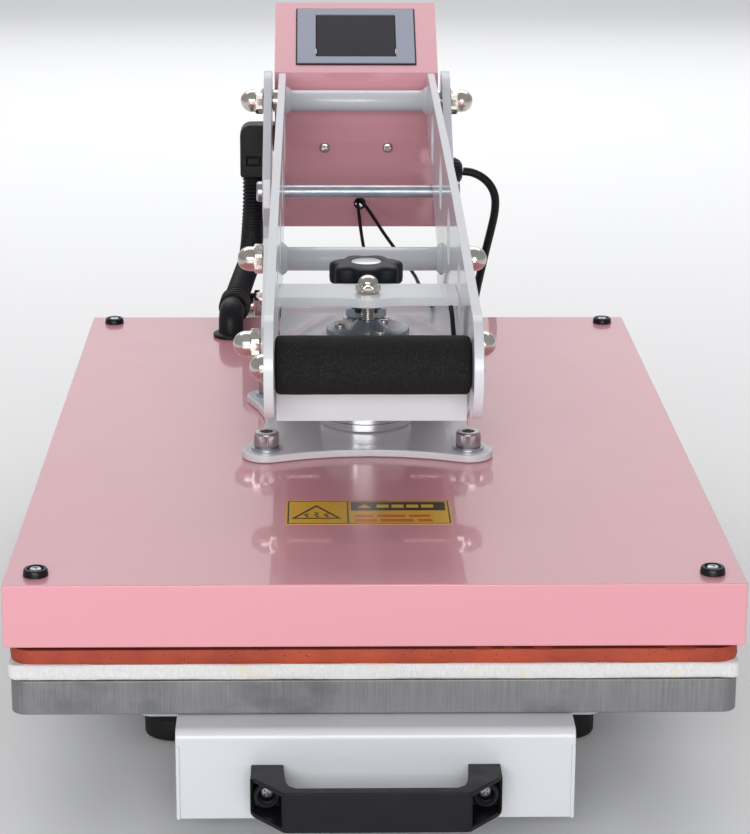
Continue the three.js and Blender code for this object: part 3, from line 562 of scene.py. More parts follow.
def settle(piece, look, body, replaces=(), slot=None, edge=0, sharp=35):
    """Gives a piece its material, edges and body, and hides the CAD parts it replaces."""
    piece.data.materials.clear()
    piece.data.materials.append(look)
    for polygon in piece.data.polygons:
        polygon.use_smooth = True
    if edge:
        soften(piece, edge)
    else:
        piece.data.set_sharp_from_angle(angle=math.radians(sharp))
    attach(piece, body)
    if replaces:
        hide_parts(*([replaces] if isinstance(replaces, str) else replaces))
    return piece


def piece(name, bm, look, body, **facts):
    return settle(loose(name, bm), look, body, **facts)


def dress(node, look, width=0.6, angle=30, segments=2):
    """Gives a CAD node its material and rounds its edges, without touching its vertices."""
    shown = NODES[node]
    shown.data.materials.clear()
    shown.data.materials.append(look)
    if "custom_normal" in shown.data.attributes:
        shown.data.attributes.remove(shown.data.attributes["custom_normal"])
    for polygon in shown.data.polygons:
        polygon.use_smooth = True
    weld = shown.modifiers.new("weld", "WELD")
    weld.merge_threshold = 0.00001
    flat = shown.modifiers.new("flat", "DECIMATE")
    flat.decimate_type = "DISSOLVE"
    flat.angle_limit = math.radians(1)
    soften(shown, width, segments, angle)


# --- Fasteners -------------------------------------------------------------------------------

def acorn(bm, seat, axis, flats=19, hex_long=7, dome_radius=9, dome_long=12):
    """An acorn nut: a hexagon with its corners turned off, and a round dome above it."""
    corner = flats / math.sqrt(3)
    inner = flats / 2 * 0.94
    straight = dome_long - dome_radius if dome_long > dome_radius else dome_long * 0.2
    profile = [(0, 0), (inner, 0), (corner, (corner - inner) * 0.55), (corner, hex_long - 1.3),
               (corner * 0.975, hex_long - 0.7), (flats / 2 + 0.1, hex_long),
               (dome_radius + 0.12, hex_long + 0.1),
               (dome_radius, hex_long + 0.5), (dome_radius, hex_long + straight)]
    profile += dome(dome_radius, hex_long + straight, dome_long - straight, 10)
    hexed = hexagon(flats)
    lathe(bm, profile, seat, axis, 60, lambda a, r: hexed(a, r) if r > flats / 2 else r)
    return bm


def washer(bm, seat, axis, outer, inner, thick):
    return lathe(bm, [(inner, 0), (outer - 0.3, 0), (outer, 0.3), (outer, thick - 0.3),
                      (outer - 0.3, thick), (inner, thick), (inner, 0)], seat, axis, 48)


def phillips(name, seat, axis, radius, height, look, body, turn=0.4):
    """A pan-head screw with a cross recess."""
    bm = bmesh.new()
    profile = [(0, 0), (radius, 0), (radius, height * 0.45)]
    profile += [(radius * math.cos(a) ** 0.5 if a < 1.5 else 0, height * (0.45 + 0.55 * math.sin(a)))
                for a in (0.5, 0.85, 1.15, 1.4, math.pi / 2)]
    lathe(bm, profile, seat, axis, 36)
    head = loose(name, bm)
    u, v, w = axes_for(axis)
    cutters = []
    for quarter in (0, math.pi / 2):
        along = u * math.cos(turn + quarter) + v * math.sin(turn + quarter)
        across = w.cross(along)
        cut = bmesh.new()
        top = Vector(seat) + w * (height + 0.3)
        wide, deep, half = radius * 0.13, height * 0.75, radius * 0.62
        rings = []
        for drop, reach in ((0, half), (deep, half * 0.45)):
            centre = top - w * drop
            rings.append([cut.verts.new(centre + along * a * reach + across * b * wide)
                          for a, b in ((-1, -1), (1, -1), (1, 1), (-1, 1))])
        cut.faces.new(rings[0])
        cut.faces.new(list(reversed(rings[1])))
        for i in range(4):
            cut.faces.new((rings[0][i], rings[1][i], rings[1][(i + 1) % 4], rings[0][(i + 1) % 4]))
        cutters.append(loose("cutter", cut))
    return settle(carve(head, *cutters), look, body)


def socket_screw(name, seat, radius, height, key, look, body, axis=(0, 0, 1)):
    """A cap screw: knurled side, chamfered top and a hexagon socket."""
    bm = bmesh.new()
    knurl = fluted(44, 0.28)
    lathe(bm,
          [(0, 0), (radius - 0.3, 0), (radius, 0.4), (radius, height - 1.6), (radius - 0.35, height - 1.5),
               (radius - 0.35, height - 0.6), (radius - 0.9, height), (0, height)], seat, axis, 176,
          lambda a, r: knurl(a, r) if r == radius else r)
    cut = bmesh.new()
    w = axes_for(axis)[2]
    lathe(cut, [(0, 0), (key, 0), (key, height), (0, height)], Vector(seat) + w * (height - key * 0.62),
          axis, 6, None)
    return settle(carve(loose(name, bm), loose("cutter", cut)), look, body, slot="zinc")


# --- Head ------------------------------------------------------------------------------------

def make_head():
    dress("heater_cover", L["pink"], 1.1, segments=3)
    dress("heating_plate", L["plate"], 0.8)
    dress("insulation_blanket", L["glass_wool"], 1.0)
    dress("cross_plate", L["white"], 1.0, segments=3)
    top = span("heater_cover")[1].z
    low, high = span("heater_cover")
    for end, y in (("front", low.y + 17.5), ("rear", high.y - 17.5)):
        for side, x in (("left", low.x + 17.5), ("right", high.x - 17.5)):
            bm = bmesh.new()
            lathe(bm,
                  [(0, 0), (7.15, 0), (7.2, 0.9), (6.8, 3.2), (6.3, 4.0), (5.2, 4.3), (4.5, 3.9),
                   (4.3, 2.0),
                       (0, 2.0)], (x, y, top), segments=48)
            piece(f"corner_bush_{end}_{side}", bm, L["satin_black"], "head", slot="black_plastic")
            phillips(f"corner_screw_{end}_{side}", (x, y, top + 2.0), (0, 0, 1), 3.7, 2.4, L["zinc"],
                     "head")
    ear = span("cross_plate")[1].z
    hub = middle("pressure_hub")
    for end, along in (("front", -1), ("rear", 1)):
        for side, across in (("left", -1), ("right", 1)):
            x, y = hub.x + 65 * across, hub.y + 65 * along
            bm = bmesh.new()
            washer(bm, (x, y, ear), (0, 0, 1), 10, 5.4, 1.8)
            piece(f"cap_washer_{end}_{side}", bm, L["zinc"], "head", slot="zinc")
            socket_screw(f"cap_screw_{end}_{side}", (x, y, ear + 1.8), 8, 10, 4.6, L["steel"], "head")
    low, high = span("pressure_hub")
    bm = bmesh.new()
    r = (high.x - low.x) / 2
    tall = high.z - low.z
    lathe(bm,
          [(0, 0), (r - 0.8, 0), (r, 0.8), (r, 5), (r - 0.5, 5.5), (r - 0.5, 7), (r, 7.5), (r, tall - 1.8),
               (r - 1.8, tall), (9.4, tall), (8.6, tall - 0.8), (8.6, 14), (0, 14)],
          (hub.x, hub.y, low.z), segments=96)
    piece("turned_hub", bm, L["turned"], "head", replaces="pressure_hub", slot="hub_steel")
    make_sticker(top)


def flat_shape(name, outlines, z, look, thick=0.12):
    bm = bmesh.new()
    for outline in outlines:
        prism(bm, outline, z, z + thick)
    return piece(name, bm, look, "head", sharp=20)


def make_sticker(top):
    """A hot-surface label with plain bars where a real one has words."""
    x0, x1, y0, y1 = -51.5, 48.5, -286.5, -241
    flat_shape("label_ground", [rounded(x0, x1, y0, y1, 1.5)], top, L["yellow"])
    z = top + 0.12
    split = x0 + 37

    def frame_bars(a0, a1, b0, b1, w):
        return [rounded(a0, a1, b0, b0 + w, w / 3, 2), rounded(a0, a1, b1 - w, b1, w / 3, 2),
                rounded(a0, a0 + w, b0 + w, b1 - w, w / 3, 2),
                rounded(a1 - w, a1, b0 + w, b1 - w, w / 3, 2)]

    flat_shape("label_frame", frame_bars(x0 + 1.2, x1 - 1.2, y0 + 1.2, y1 - 1.2, 0.9)
               + [rounded(split, split + 0.9, y0 + 2.2, y1 - 2.2, 0.3, 2)], z, L["ink"], 0.05)
    flat_shape("label_header", [rounded(split + 2.4, x1 - 3.4, y1 - 19.5, y1 - 3.4, 1.2)], z, L["ink"],
               0.05)
    cx, cy, size = (x0 + split) / 2, (y0 + y1) / 2 - 3.5, 17.5
    corners = [(cx + size * math.cos(a), cy + size * math.sin(a)) for a in (math.pi / 2, 7 * math.pi / 6,
                                                                            -math.pi / 6)]
    edges = []
    for i in range(3):
        (ax, ay), (bx, by) = corners[i], corners[(i + 1) % 3]
        ix, iy = (cx - ax) * 0.19, (cy - ay) * 0.19
        jx, jy = (cx - bx) * 0.19, (cy - by) * 0.19
        edges.append([(ax, ay), (bx, by), (bx + jx, by + jy), (ax + ix, ay + iy)])
    waves = []
    for k in range(3):
        wave = [(cx - 6 + 6 * k + 1.1 * math.sin(t * 1.6), cy - 5.5 + 1.35 * t) for t in range(8)]
        wave = [p for p in wave if p[1] < cy + 4.5 - abs(p[0] - cx) * 0.35]
        waves.append([(x - 0.75, y) for x, y in wave] + [(x + 0.75, y) for x, y in reversed(wave)])
    flat_shape("label_heat_sign", edges + waves + [rounded(cx - 9, cx + 9, cy - 8.2, cy - 6.9, 0.5, 2)],
               z, L["ink"], 0.05)
    bars = [rounded(split + 18 + 9 * k, split + 25.4 + 9 * k, y1 - 14.3, y1 - 8.4, 0.6,
                    2) for k in range(4)]
    small = [(split + 6.2, y1 - 14.8), (split + 15.2, y1 - 14.8), (split + 10.7, y1 - 7.6)]
    flat_shape("label_header_bars", bars + [small], z + 0.05, L["yellow"], 0.04)
    rows = []
    for row, widths in enumerate(((11, 0, 17, 0, 13), (13, 0, 20, 0, 9))):
        x = split + 4.6
        y = y0 + 15.5 - 8.4 * row
        for w in widths:
            if w:
                rows.append(rounded(x, x + w, y - 2.5, y + 2.5, 0.7, 2))
                x += w
            x += 2.2 if not w else 0
    flat_shape("label_bars", rows, z, L["orange"], 0.05)


# --- Knob, arm and handle -----------------------------------------------------------------------

def make_knob():
    low, high = span("star_knob")
    c = middle("pressure_screw")
    r = (high.x - low.x) / 2
    bm = bmesh.new()
    lobes = lambda a, q: q + (2.0 * math.cos(7 * a) - 1.2) * (1 if q > 15 else 0) * (q / r)
    base = high.z - low.z - 17
    lathe(bm, [(8.5, 0), (10, 0), (10.6, 1), (10.4, base + 0.4), (r - 5, base + 0.8), (r - 1.2, base + 1.2),
               (r - 0.3, base + 2.2), (r, base + 5), (r, base + 12.6), (r - 0.5, base + 14.2),
               (r - 1.8, base + 15.3),
               (r - 4.5, base + 16.2), (12, base + 16.9), (10.6, base + 16.7), (10.2, base + 15.4),
               (8.5, base + 15.4), (8.5, 0)], (c.x, c.y, low.z), segments=140, shape=lobes)
    piece("lobed_knob", bm, L["black"], "knob", replaces="star_knob", slot="black_plastic", sharp=40)
    bm = bmesh.new()
    lathe(bm, [(0, 0), (10, 0), (10, 0.8), (9.4, 1.2), (4, 1.5), (0, 1.6)], (c.x, c.y, high.z - 1.5))
    piece("knob_cap", bm, L["zinc"], "knob", slot="zinc")
    low, high = span("pressure_screw")
    bm = bmesh.new()
    profile = [(0, 0), (6.6, 0)]
    z = 1.0
    while z < high.z - low.z - 2.2:
        profile += [(7.9, z), (8.0, z + 0.35), (7.0, z + 1.05), (7.0, z + 1.15)]
        z += 1.9
    profile += [(7.2, high.z - low.z), (0, high.z - low.z)]
    lathe(bm, profile, (c.x, c.y, low.z), segments=40)
    piece("threaded_screw", bm, L["zinc"], "knob", replaces="pressure_screw", slot="zinc", sharp=50)


def make_arm():
    dress("swing_arm", L["white"], 0.9, segments=3)
    c = middle("pressure_screw")
    web = span("swing_arm")[1].z
    bm = bmesh.new()
    washer(bm, (c.x, c.y, web), (0, 0, 1), 15, 8.6, 1.6)
    piece("screw_washer", bm, L["zinc"], "arm", slot="zinc")
    bm = bmesh.new()
    lathe(bm, [(8.5, 0), (11.4, 0), (13.4, 1.1), (13.4, 5.6), (11.4, 6.8), (8.5, 6.8), (8.5, 0)],
          (c.x, c.y, web + 1.6), segments=60, shape=hexagon(24))
    piece("screw_lock_nut", bm, L["zinc"], "arm", slot="zinc")
    low, high = span("electromagnet")
    m = middle("electromagnet")
    tall = high.z - low.z
    bm = bmesh.new()
    lathe(bm, [(0, 0), (24, 0), (25, 1), (25, tall - 0.8), (24.4, tall), (20, tall), (20, tall - 0.9),
               (9, tall - 0.9), (9, tall), (0, tall)], (m.x, m.y, low.z), segments=80)
    piece("magnet_pot", bm, L["zinc"], "arm", replaces="electromagnet", slot="zinc")
    bm = bmesh.new()
    axle(bm, middle("magnet_axle"), 56.8)
    piece("magnet_cross_bolt", bm, L["nickel"], "arm", replaces="magnet_axle", slot="nickel")
    bm = bmesh.new()
    axle(bm, middle("link_axle"), 70.6, spacer=(9, 56.8, 64.0))
    piece("link_cross_bolt", bm, L["nickel"], "arm", replaces="link_axle", slot="nickel")
    bm = bmesh.new()
    acorn(bm, (-56.5, -1, 209), (-1, 0, 0), 13, 4.5, 6, 8)
    piece("arm_stop_nut", bm, L["nickel"], "arm", slot="nickel")


def axle(bm, centre, seat, radius=6, spacer=None, flats=19, hex_long=7, dome_radius=9, dome_long=12,
         ways=(-1, 1)):
    """A through bolt along X with an acorn nut at each end."""
    c = Vector(centre)
    if len(ways) == 2:
        lathe(bm, [(0, -seat - 0.5), (radius, -seat - 0.5), (radius, seat + 0.5), (0, seat + 0.5)],
              (0, c.y, c.z), (1, 0, 0), 40)
    for way in ways:
        acorn(bm, (way * seat, c.y, c.z), (way, 0, 0), flats, hex_long, dome_radius, dome_long)
        if spacer:
            outer, near, far = spacer
            lathe(bm, [(radius, near), (outer - 0.5, near), (outer, near + 0.5), (outer, far - 0.5),
                       (outer - 0.5, far), (radius, far), (radius, near)], (0, c.y, c.z), (way, 0, 0), 40)


def make_handle():
    for side in ("left", "right"):
        dress(f"handle_plate_{side}", L["white"], 0.7, segments=3)
    dress("armature_bar", L["white"], 0.9, segments=3)
    for node, name in (("handle_top_tube", "top_cross_tube"), ("handle_mid_tube", "middle_cross_tube")):
        low, high = span(node)
        c, half, r = middle(node), (high.x - low.x) / 2, (high.z - low.z) / 2
        bm = bmesh.new()
        lathe(bm, [(6.4, -half), (r - 0.5, -half), (r, -half + 0.5), (r, half - 0.5), (r - 0.5, half),
                   (6.4, half), (6.4, -half)], (0, c.y, c.z), (1, 0, 0), 64)
        for way in (-1, 1):
            weld = [(r, 53.4), (r + 1.9, 55.0), (r + 3.4, 57.25), (r, 57.25), (r, 53.4)]
            lathe(bm, weld, (0, c.y, c.z), (way, 0, 0), 48, lambda a, q: q + 0.12 * math.sin(17 * a))
        piece(name, bm, L["white"], "handle", replaces=node, slot="white_coat", sharp=50)
    low, high = span("armature_bolt")
    c = middle("armature_bolt")
    seat = span("armature_bar")[1].z + 0.3
    bm = bmesh.new()
    profile = [(0, 0), (3.4, 0)]
    z = 0.6
    while z < seat - low.z - 0.8:
        profile += [(4.0, z), (4.0, z + 0.25), (3.45, z + 0.7)]
        z += 1.25
    profile += [(3.5, seat - low.z), (0, seat - low.z)]
    lathe(bm, profile, (c.x, c.y, low.z), segments=32)
    acorn(bm, (c.x, c.y, seat), (0, 0, 1), 13.86, 4.8, 6.3, 6)
    piece("armature_stud", bm, L["nickel"], "handle", replaces="armature_bolt", slot="nickel", sharp=50)
    low, high = span("armature_disc")
    bm = bmesh.new()
    lathe(bm,
          [(0, 0), (26, 0), (26.5, 0.5), (26.5, 3.2), (25.8, 3.9), (13.4, 4.0), (11.5, 4.8), (7.4, 8.6),
           (6, 9.4),
               (4.4, 9.4), (4.4, 3), (0, 3)], (c.x, c.y, low.z), segments=96)
    piece("armature_plate", bm, L["zinc"], "handle", replaces="armature_disc", slot="zinc", sharp=30)
    for k, angle in enumerate((175, 55, -65)):
        a = math.radians(angle)
        phillips(f"armature_screw_{k + 1}", (c.x + 18 * math.cos(a), c.y + 18 * math.sin(a), low.z + 3.9),
                 (0, 0, 1), 3.4, 2.2, L["nickel"], "handle", 0.3 + k)
    make_handle_wire()
    low, high = span("foam_grip")
    g = middle("foam_grip")
    r, half = (high.z - low.z) / 2, (high.x - low.x) / 2
    bm = bmesh.new()
    wall = [(10.3, -half), (14.2, -half + 0.1), (16.2, -half + 0.7), (17.1, -half + 1.9), (r, -half + 3.6)]
    steps = 26
    span_x = 2 * (half - 3.6)
    wall += [(r, -half + 3.6 + span_x * k / steps) for k in range(1, steps)]
    wall += [(q, -h) for q, h in reversed(wall[:5])] + [(10.3, half - 0.1), (10.3, -half)]
    lathe(bm, wall[:-2] + [(10.3, -half)], (0, g.y, g.z), (1, 0, 0), 72)
    for v in bm.verts:
        off = Vector((0, v.co.y - g.y, v.co.z - g.z))
        if off.length > 12:
            v.co -= off.normalized() * (0.16 + 0.16 * noise.noise(v.co * 0.09))
    grip = piece("foam_sleeve", bm, L["foam"], "handle", replaces="foam_grip", slot="foam", sharp=50)
    dress("grip_core", L["zinc"], 0.5)


def make_handle_wire():
    """A thin wire in a sleeve, from the cross bar along the inside of the right plate to the grip."""
    bar = span("armature_bar")
    x, y = 53.4, bar[0].y + 4
    route = [(x - 1.5, y + 3, bar[0].z + 0.4), (x - 0.6, y + 1, bar[0].z - 5), (x, y - 5, bar[0].z - 14),
             (x + 0.6, y - 14, bar[0].z - 23), (x + 1.4, y - 28, bar[0].z - 31),
             (x + 2, y - 44, bar[0].z - 34),
             (x + 1.6, y - 60, bar[0].z - 29), (x + 0.5, y - 70, bar[0].z - 22)]
    path = smooth_path(route, 1.5)
    third = len(path) // 4
    for name, part, radius, look in (("handle_wire_sleeve", path[:third], 1.5, L["sheath"]),
                                     ("handle_wire", path[third - 1:third + 8], 0.9, L["red_wire"]),
                                     ("handle_wire_tail", path[third + 6:], 1.3, L["sheath"])):
        bm = bmesh.new()
        sweep(bm, part, radius, 14)
        piece(name, bm, look, "handle", sharp=60)


def make_links():
    for side, way in (("left", -1), ("right", 1)):
        dress(f"link_{side}", L["white"], 0.8, segments=3)
        bm = bmesh.new()
        c = middle(f"link_pin_{side}")
        lathe(bm, [(0, 63.3), (6, 63.3), (6, 71.1), (0, 71.1)], (0, c.y, c.z), (way, 0, 0), 40)
        axle(bm, c, 70.6, ways=(way,))
        piece(f"link_dome_nut_{side}", bm, L["nickel"], "links", replaces=f"link_pin_{side}", slot="nickel")


# --- Base ------------------------------------------------------------------------------------

def make_base():
    dress("base_frame", L["white"], 0.9)
    for side, way in (("left", -1), ("right", 1)):
        dress(f"upright_{side}", L["white"], 0.8, segments=3)
        dress(f"rail_outer_{side}", L["zinc"], 0.3)
        dress(f"rail_inner_{side}", L["zinc"], 0.3)
        low, high = span(f"upright_{side}")
        for k, y in enumerate((296, 376)):
            bm = bmesh.new()
            washer(bm, (way * 57, y, 30), (0, 0, 1), 8.5, 4.2, 1.6)
            piece(f"upright_washer_{side}_{k + 1}", bm, L["zinc"], "base", slot="zinc")
            socket_screw(f"upright_screw_{side}_{k + 1}", (way * 57, y, 31.6), 6.5, 8, 3.5, L["steel"],
                         "base")
    for place in ("front_left", "front_right", "rear_left", "rear_right"):
        low, high = span(f"foot_{place}")
        c = middle(f"foot_{place}")
        tall = high.z - low.z
        bm = bmesh.new()
        lathe(bm, [(0, 2.5), (4.5, 2.5), (5, 0.3), (6, 0), (17.3, 0), (18.4, 0.5), (18.8, 1.4), (19, 12.6),
                   (18.7, 13.1), (18.7, 13.5), (19, 14.0), (18.9, tall - 2.6), (17.4, tall - 1),
                   (16.6, tall),
                   (0, tall)], (c.x, c.y, low.z), segments=72)
        piece(f"rubber_foot_{place}", bm, L["rubber"], "base", replaces=f"foot_{place}", slot="foot_rubber")
    bm = bmesh.new()
    c = middle("tie_rod")
    lathe(bm,
          [(0, -79.8), (6.8, -79.8), (8, -78.6), (8, -75.3), (5, -75.3), (5, 75.3), (8, 75.3), (8, 78.6),
               (6.8, 79.8), (0, 79.8)], (0, c.y, c.z), (1, 0, 0), 40)
    piece("tie_bar", bm, L["zinc"], "base", replaces="tie_rod", slot="zinc")
    bm = bmesh.new()
    axle(bm, middle("handle_axle"), 75.3, spacer=(9, 63.3, 68.1))
    piece("handle_cross_bolt", bm, L["nickel"], "base", replaces="handle_axle", slot="nickel")
    bm = bmesh.new()
    axle(bm, middle("arm_axle"), 75.3, radius=8, spacer=(11, 56.8, 68.1), flats=22, hex_long=9,
         dome_radius=10.2, dome_long=13)
    piece("arm_cross_bolt", bm, L["nickel"], "base", replaces="arm_axle", slot="nickel")
    low, high = span("gas_cylinder")
    c = middle("gas_cylinder")
    tall = high.z - low.z
    bm = bmesh.new()
    lathe(bm,
          [(0, 0), (12.4, 0), (13, 0.6), (13, 5), (11, 6), (11, tall - 3.4), (10.2, tall - 1.6),
           (9.4, tall),
               (5.4, tall), (5.4, tall - 60), (0, tall - 60)], (c.x, c.y, low.z), segments=56)
    piece("spring_cylinder", bm, L["satin_black"], "base", replaces="gas_cylinder", slot="black_plastic")
    dress("gas_rod", L["zinc"], 0.6)


# --- Control box -----------------------------------------------------------------------------

def on_face(bm, half, along0, along1, low, high):
    """A rounded slab on the tilted face of the control box. Along is measured up the face."""
    base = span("control_box")[0]
    slope = math.atan2(47.5, 77)
    made = bmesh.new()
    prism(made, rounded(-half, half, along0, along1, 1.2), low, high)
    turn = Matrix.Translation((0, base.y, 320)) @ Matrix.Rotation(slope, 4, "X")
    bmesh.ops.transform(made, matrix=turn, verts=made.verts)
    scratch = bpy.data.meshes.new("scratch")
    made.to_mesh(scratch)
    made.free()
    bm.from_mesh(scratch)
    bpy.data.meshes.remove(scratch)


def make_box():
    dress("control_box", L["pink"], 1.3, segments=3)
    dress("control_box_back", L["pink"], 0.5)
    dress("screen_bezel", L["bezel"], 0.5)
    bm = bmesh.new()
    on_face(bm, 49.7, 9.3, 81.7, 0.05, 0.9)
    gasket = loose("bezel_gasket", bm)
    bm = bmesh.new()
    on_face(bm, 40, 17, 74, -3, 4)
    settle(carve(gasket, loose("cutter", bm)), L["satin_black"], "base", slot="black_plastic", edge=0.2)
    dress("touch_screen", L["screen"], 0.4)
    dress("control_board", L["board"], 0.6)
    low = span("control_box")[0]
    for side, way in (("left", -1), ("right", 1)):
        phillips(f"box_front_screw_{side}", (way * 26, low.y, 258), (0, -1, 0), 4.3, 2.8, L["nickel"],
                 "base",
                 0.5 + way * 0.3)
    back = span("control_box_back")[1]
    k = 0
    for z in (201, 350):
        for x in (-59, 59):
            k += 1
            phillips(f"back_panel_screw_{k}", (x, back.y, z), (0, 1, 0), 3.4, 2.2, L["nickel"], "base",
                     0.2 * k)
    bm = bmesh.new()
    outer = rounded(-16, 16, 211, 245, 3)
    prism(bm, outer, back.y + 0.2, back.y + 2.2, "xz")
    frame_piece = loose("switch_bezel", bm)
    cut = bmesh.new()
    prism(cut, rounded(-9.7, 9.7, 212.9, 243.1, 1), back.y - 2, back.y + 6, "xz")
    settle(carve(frame_piece, loose("cutter", cut)), L["satin_black"], "base", slot="black_plastic",
           edge=0.4)
    dress("power_switch", L["satin_black"], 0.5, segments=3)
    gland()
    elbows()
    bm = bmesh.new()
    lathe(bm, [(3.6, -1.6), (4.1, -1.6), (4.1, 0), (5, 0.1), (5, 0.6), (4.5, 0.9), (3.6, 0.9), (3.6, -1.6)],
          (3.2, low.y, 211.1), (0, -1, 0), 40)
    piece("wire_grommet", bm, L["rubber"], "base", slot="foot_rubber", sharp=50)


def gland():
    low, high = span("cable_gland")
    c = middle("cable_gland")
    length = high.x - low.x
    bm = bmesh.new()
    lathe(bm, [(0, 0), (11.4, 0), (11.4, 5.5), (9.6, 6), (0, 6)], (low.x, c.y, c.z), (1, 0, 0), 60,
          hexagon(20.5))
    ribs = fluted(20, 0.7)
    lathe(bm,
          [(0, 5.6), (10.6, 5.6), (11.6, 6.6), (11.6, length - 6), (9.6, length - 2.5), (6.4, length - 0.4),
               (4.6, length), (0, length)], (low.x, c.y, c.z), (1, 0, 0), 120,
          lambda a, r: ribs(a, r) if r > 11 else r)
    piece("gland_nut", bm, L["black"], "base", replaces="cable_gland", slot="black_plastic")


def collar(bm, place, axis, inner, outer, long, rings=3):
    """A ribbed socket that a hose end goes into."""
    profile = [(inner, 0), (outer, 0)]
    pitch = long / rings
    for k in range(rings):
        z = pitch * k
        profile += [(outer, z + 0.2 * pitch), (outer - 0.7, z + 0.3 * pitch),
                    (outer - 0.7, z + 0.8 * pitch),
                    (outer, z + 0.9 * pitch)]
    profile += [(outer, long - 0.4), (outer - 0.5, long), (inner, long), (inner, 0)]
    lathe(bm, profile, place, axis, 56)


def elbows():
    low, high = span("hose_elbow_upper")
    x, y, up = HOSE_TOP[0], HOSE_TOP[1], 262
    outline = [(high.x, up - 11), (high.x, up + 10.6)]
    for i in range(9):
        angle = math.pi / 2 * (1 + i / 8)
        outline.append((x - 2 + 9 * math.cos(angle), up + 1.6 + 9 * math.sin(angle)))
    outline += [(x - 11, low.z + 2.5), (x - 10, low.z), (x + 10, low.z), (x + 11, low.z + 2.5),
                (x + 11, up - 11)]
    bm = bmesh.new()
    prism(bm, outline, y - 11, y + 11, "xz")
    shell = loose("upper_hose_elbow", bm)
    bm = bmesh.new()
    block(bm, x - 5.6, x + 5.6, y - 12, y - 9.4, 238.5, 246)
    socket = bmesh.new()
    lathe(socket, [(0, 0), (9.7, 0), (9.7, 12), (0, 12)], (x, y, low.z - 2), segments=48)
    settle(carve(shell, loose("cutter", bm), loose("cutter", socket)), L["black"], "base",
           replaces="hose_elbow_upper", slot="black_plastic", edge=1.6)
    bm = bmesh.new()
    block(bm, x - 4.8, x + 4.8, y - 10.6, y - 9.0, 239.4, 244.6)
    piece("elbow_latch", bm, L["black"], "base", slot="black_plastic", edge=0.5)
    low, high = span("hose_elbow_lower")
    x, y, z = -98, 165, low.z
    rise = HOSE_END[2] - z
    bm = bmesh.new()
    lathe(bm, [(0, 0), (13, 0), (13.5, 0.5), (13.5, 2), (12.6, 2.7), (9.9, 3.1), (9.4, 4), (0, 4)],
          (x, y, z),
          segments=72)
    path = smooth_path([(x, y, z + 1), (x, y, z + 7), (x, y + 1.6, z + 12.5), (x + 0.3, y + 6, z + 16.4),
                        (x + 0.7, y + 12.5, rise + z), (x + 1.2, y + 20, rise + z)], 1.2)
    sweep(bm, path, 9.4, 28)
    collar(bm, (HOSE_END[0] - 0.1, y + 17.5, rise + z), (0.04, 1, 0), 9.0, 11.9, 19, 3)
    piece("lower_hose_elbow", bm, L["black"], "head", replaces="hose_elbow_lower", slot="black_plastic",
          sharp=40)


# --- Drawer ----------------------------------------------------------------------------------

def pad_slab(node, radius, edge, wave, pitch, seed):
    """A soft slab with rounded rims. Its sides wander by up to wave millimetres."""
    low, high = span(node)
    outline = []
    for x, y in rounded(low.x, high.x, low.y, high.y, radius, 8):
        outline.append(Vector((x, y, 0)))
    fine = []
    for a, b in zip(outline, outline[1:] + outline[:1]):
        count = max(1, round((b - a).length / pitch))
        fine += [a.lerp(b, i / count) for i in range(count)]
    centre = Vector(((low.x + high.x) / 2, (low.y + high.y) / 2, 0))
    tall = high.z - low.z
    bm = bmesh.new()
    rings = []
    levels = [(0, edge), (0.12, 0.35 * edge), (0.3, 0), (0.5, 0), (0.7, 0), (0.88, 0.35 * edge), (1, edge)]
    for level, pull in levels:
        ring = []
        for i, p in enumerate(fine):
            tangent = (fine[(i + 1) % len(fine)] - fine[i - 1]).normalized()
            outward = Vector((tangent.y, -tangent.x, 0))
            w = wave * (0.5 + 0.5 * noise.noise(Vector((p.x * 0.035, p.y * 0.035, seed + 2.2 * level))))
            w += 0.4 * wave * (0.5 + 0.5 * noise.noise(Vector((p.x * 0.21, p.y * 0.21, seed + 5 * level))))
            dip = 0
            if 0 < level < 1:
                dip = 0.5 * wave * noise.noise(Vector((p.x * 0.02, p.y * 0.02, seed + 40)))
            ring.append(bm.verts.new(p - outward * (pull + w) + Vector((0, 0, low.z + tall * level + dip))))
        rings.append(ring)
    n = len(fine)
    for a, b in zip(rings, rings[1:]):
        for i in range(n):
            bm.faces.new((a[i], a[(i + 1) % n], b[(i + 1) % n], b[i]))
    for ring, flip in ((rings[0], True), (rings[-1], False)):
        inner = [bm.verts.new(v.co.lerp(Vector((centre.x, centre.y, v.co.z)), 0.04)) for v in ring]
        for i in range(n):
            quad = (ring[i], ring[(i + 1) % n], inner[(i + 1) % n], inner[i])
            bm.faces.new(tuple(reversed(quad)) if flip else quad)
        bm.faces.new(list(reversed(inner)) if flip else inner)
    return bm


def make_drawer():
    sponge = piece("silicone_sponge", pad_slab("silicone_pad", 14, 0.7, 0.7, 2.4, 3.0), L["silicone"],
                   "drawer",
                   replaces="silicone_pad", slot="silicone", sharp=60)
    felt = piece("pressed_felt", pad_slab("felt_pad", 6, 0.9, 1.3, 1.8, 11.0), L["felt"], "drawer",
                 replaces="felt_pad", slot="felt", sharp=60)
    dress("lower_platen", L["platen"], 0.7)
    dress("drawer_box", L["white"], 0.7, segments=3)
    low = span("drawer_box")[0]
    for side, way in (("left", -1), ("right", 1)):
        bm = bmesh.new()
        x = sorted((way * 109.2, way * 111.4))
        block(bm, *x, low.y - 0.9, low.y + 2, low.z, low.z + 44)
        piece(f"drawer_seam_{side}", bm, L["white"], "drawer", slot="white_coat", edge=0.5)
    make_pull()


